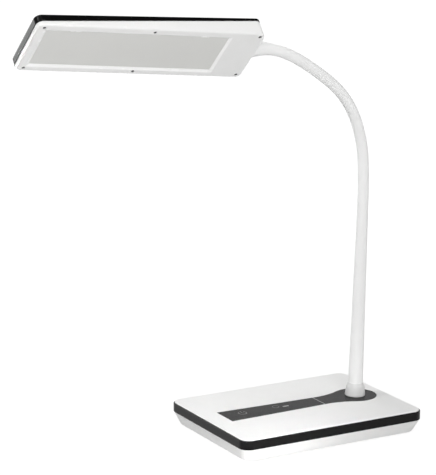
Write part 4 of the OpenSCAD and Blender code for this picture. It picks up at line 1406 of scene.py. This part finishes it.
lower_shell = smooth_edges(cut_lower_shell(make_lower_shell()))
window_trim = make_window_highlight_trim()
hand_over(lower_shell, "head", white_shell, ["head_lower_shell"])
hand_over(window_trim, "head", bevel_white, [])
print("lower shell", len(lower_shell.data.polygons), "faces, trim", len(window_trim.data.polygons))

# %% [markdown]
# The black band is a wedge-shaped ring between two slanting planes, and the top cover is a flat
# white lid let into it. Both have small rounded edges.

# %% Band and top cover of the head
def make_head_band():
    soft = 0.5 * MM
    low, high = (tip_white, root_white), (tip_t, root_t)
    rings = [head_ring(head_wall, 0, slant(*low)), head_ring(soft, 0, slant(*low))]
    for across, up in quarter_round(4)[1:]:
        rings.append(head_ring(soft * across, 0, slant(*low, soft * up)))
    for across, up in quarter_round(4):
        rings.append(head_ring(soft * up, 0, slant(*high, -soft * across)))
    rings.append(head_ring(head_wall, 0, slant(*high)))
    return loft("head_black_band", rings, closed=True)


def make_top_cover():
    margin, rise, step_down, soft = 1.2 * MM, 0.8 * MM, 1.2 * MM, 0.75 * MM
    inside = head_wall + seat_gap
    profile = rounded_profile([
        (inside, -step_down, 0), (inside, 0, 0), (margin, 0, 0), (margin, rise, soft), (4 * margin, rise, 0),
    ])
    return loft("top_cover", [head_ring(inset, 0, slant(tip_t, root_t, lift)) for inset, lift in profile])


head_band = smooth_edges(make_head_band())
top_cover = smooth_edges(make_top_cover())
hand_over(head_band, "head", deep_black, ["head_band"])
hand_over(top_cover, "head", white_shell, ["head_top_cover"])
print("head band", len(head_band.data.polygons), "top cover", len(top_cover.data.polygons))

# %% [markdown]
# The diffuser is an opal sheet behind the window, with its own flat map for the prism pattern.
# It is lofted flat, mapped by its own length and width, and then carried to the head. The six
# screws of the underside are copies again.

# %% Diffuser and head screws
def make_diffuser():
    thickness, soft, corner_r = 2 * MM, 0.2 * MM, 0.8 * MM
    low = -head_under + window_recess
    high = low + thickness
    overlap = 2 * (window_ledge - seat_gap)
    length, width = window_l + overlap, window_w + overlap
    profile = rounded_profile([(3 * soft, low, 0), (0, low, soft), (0, high, soft), (3 * soft, high, 0)], 3)
    rings = []
    for inset, z in profile:
        points = outline(length - 2 * inset, width - 2 * inset, corner_r, 4)
        rings.append([Vector((window_x + p.x, p.y, z)) for p in points])
    sheet = loft("diffuser_sheet", rings)
    flat_map = sheet.data.uv_layers.new(name="flat_map")
    for loop in sheet.data.loops:
        point = sheet.data.vertices[loop.vertex_index].co
        flat_map.data[loop.index].uv = (point.x, point.y)
    sheet.data.transform(head_place)
    return smooth_edges(sheet)


def head_screws():
    length, slot_w = 6 * MM, 0.5 * MM
    shape = screw_shape(head_screw_head_r, head_screw_head_h, head_screw_r, length, slot_w)
    turn = (head_place.to_3x3() @ Matrix.Rotation(math.pi, 3, "X")).to_euler()
    return copies("head_screw_set", [head_place @ p for p in head_screw_points], shape, turn, screw_zinc)


hand_over(make_diffuser(), "head", opal, ["diffuser"])
hand_over(head_screws(), "head", screw_zinc, ["head_screws"])
print("diffuser and", len(head_screw_points), "screws")

# %% [markdown]
# Last, the box of the finished lamp is printed beside the box of the construction model, so that
# the two sizes can be compared.

# %% Sizes and finish
visual_low, visual_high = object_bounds()
for title, size in (("cad", cad_high - cad_low), ("visual", visual_high - visual_low)):
    print(title, [round(v / MM, 1) for v in size])
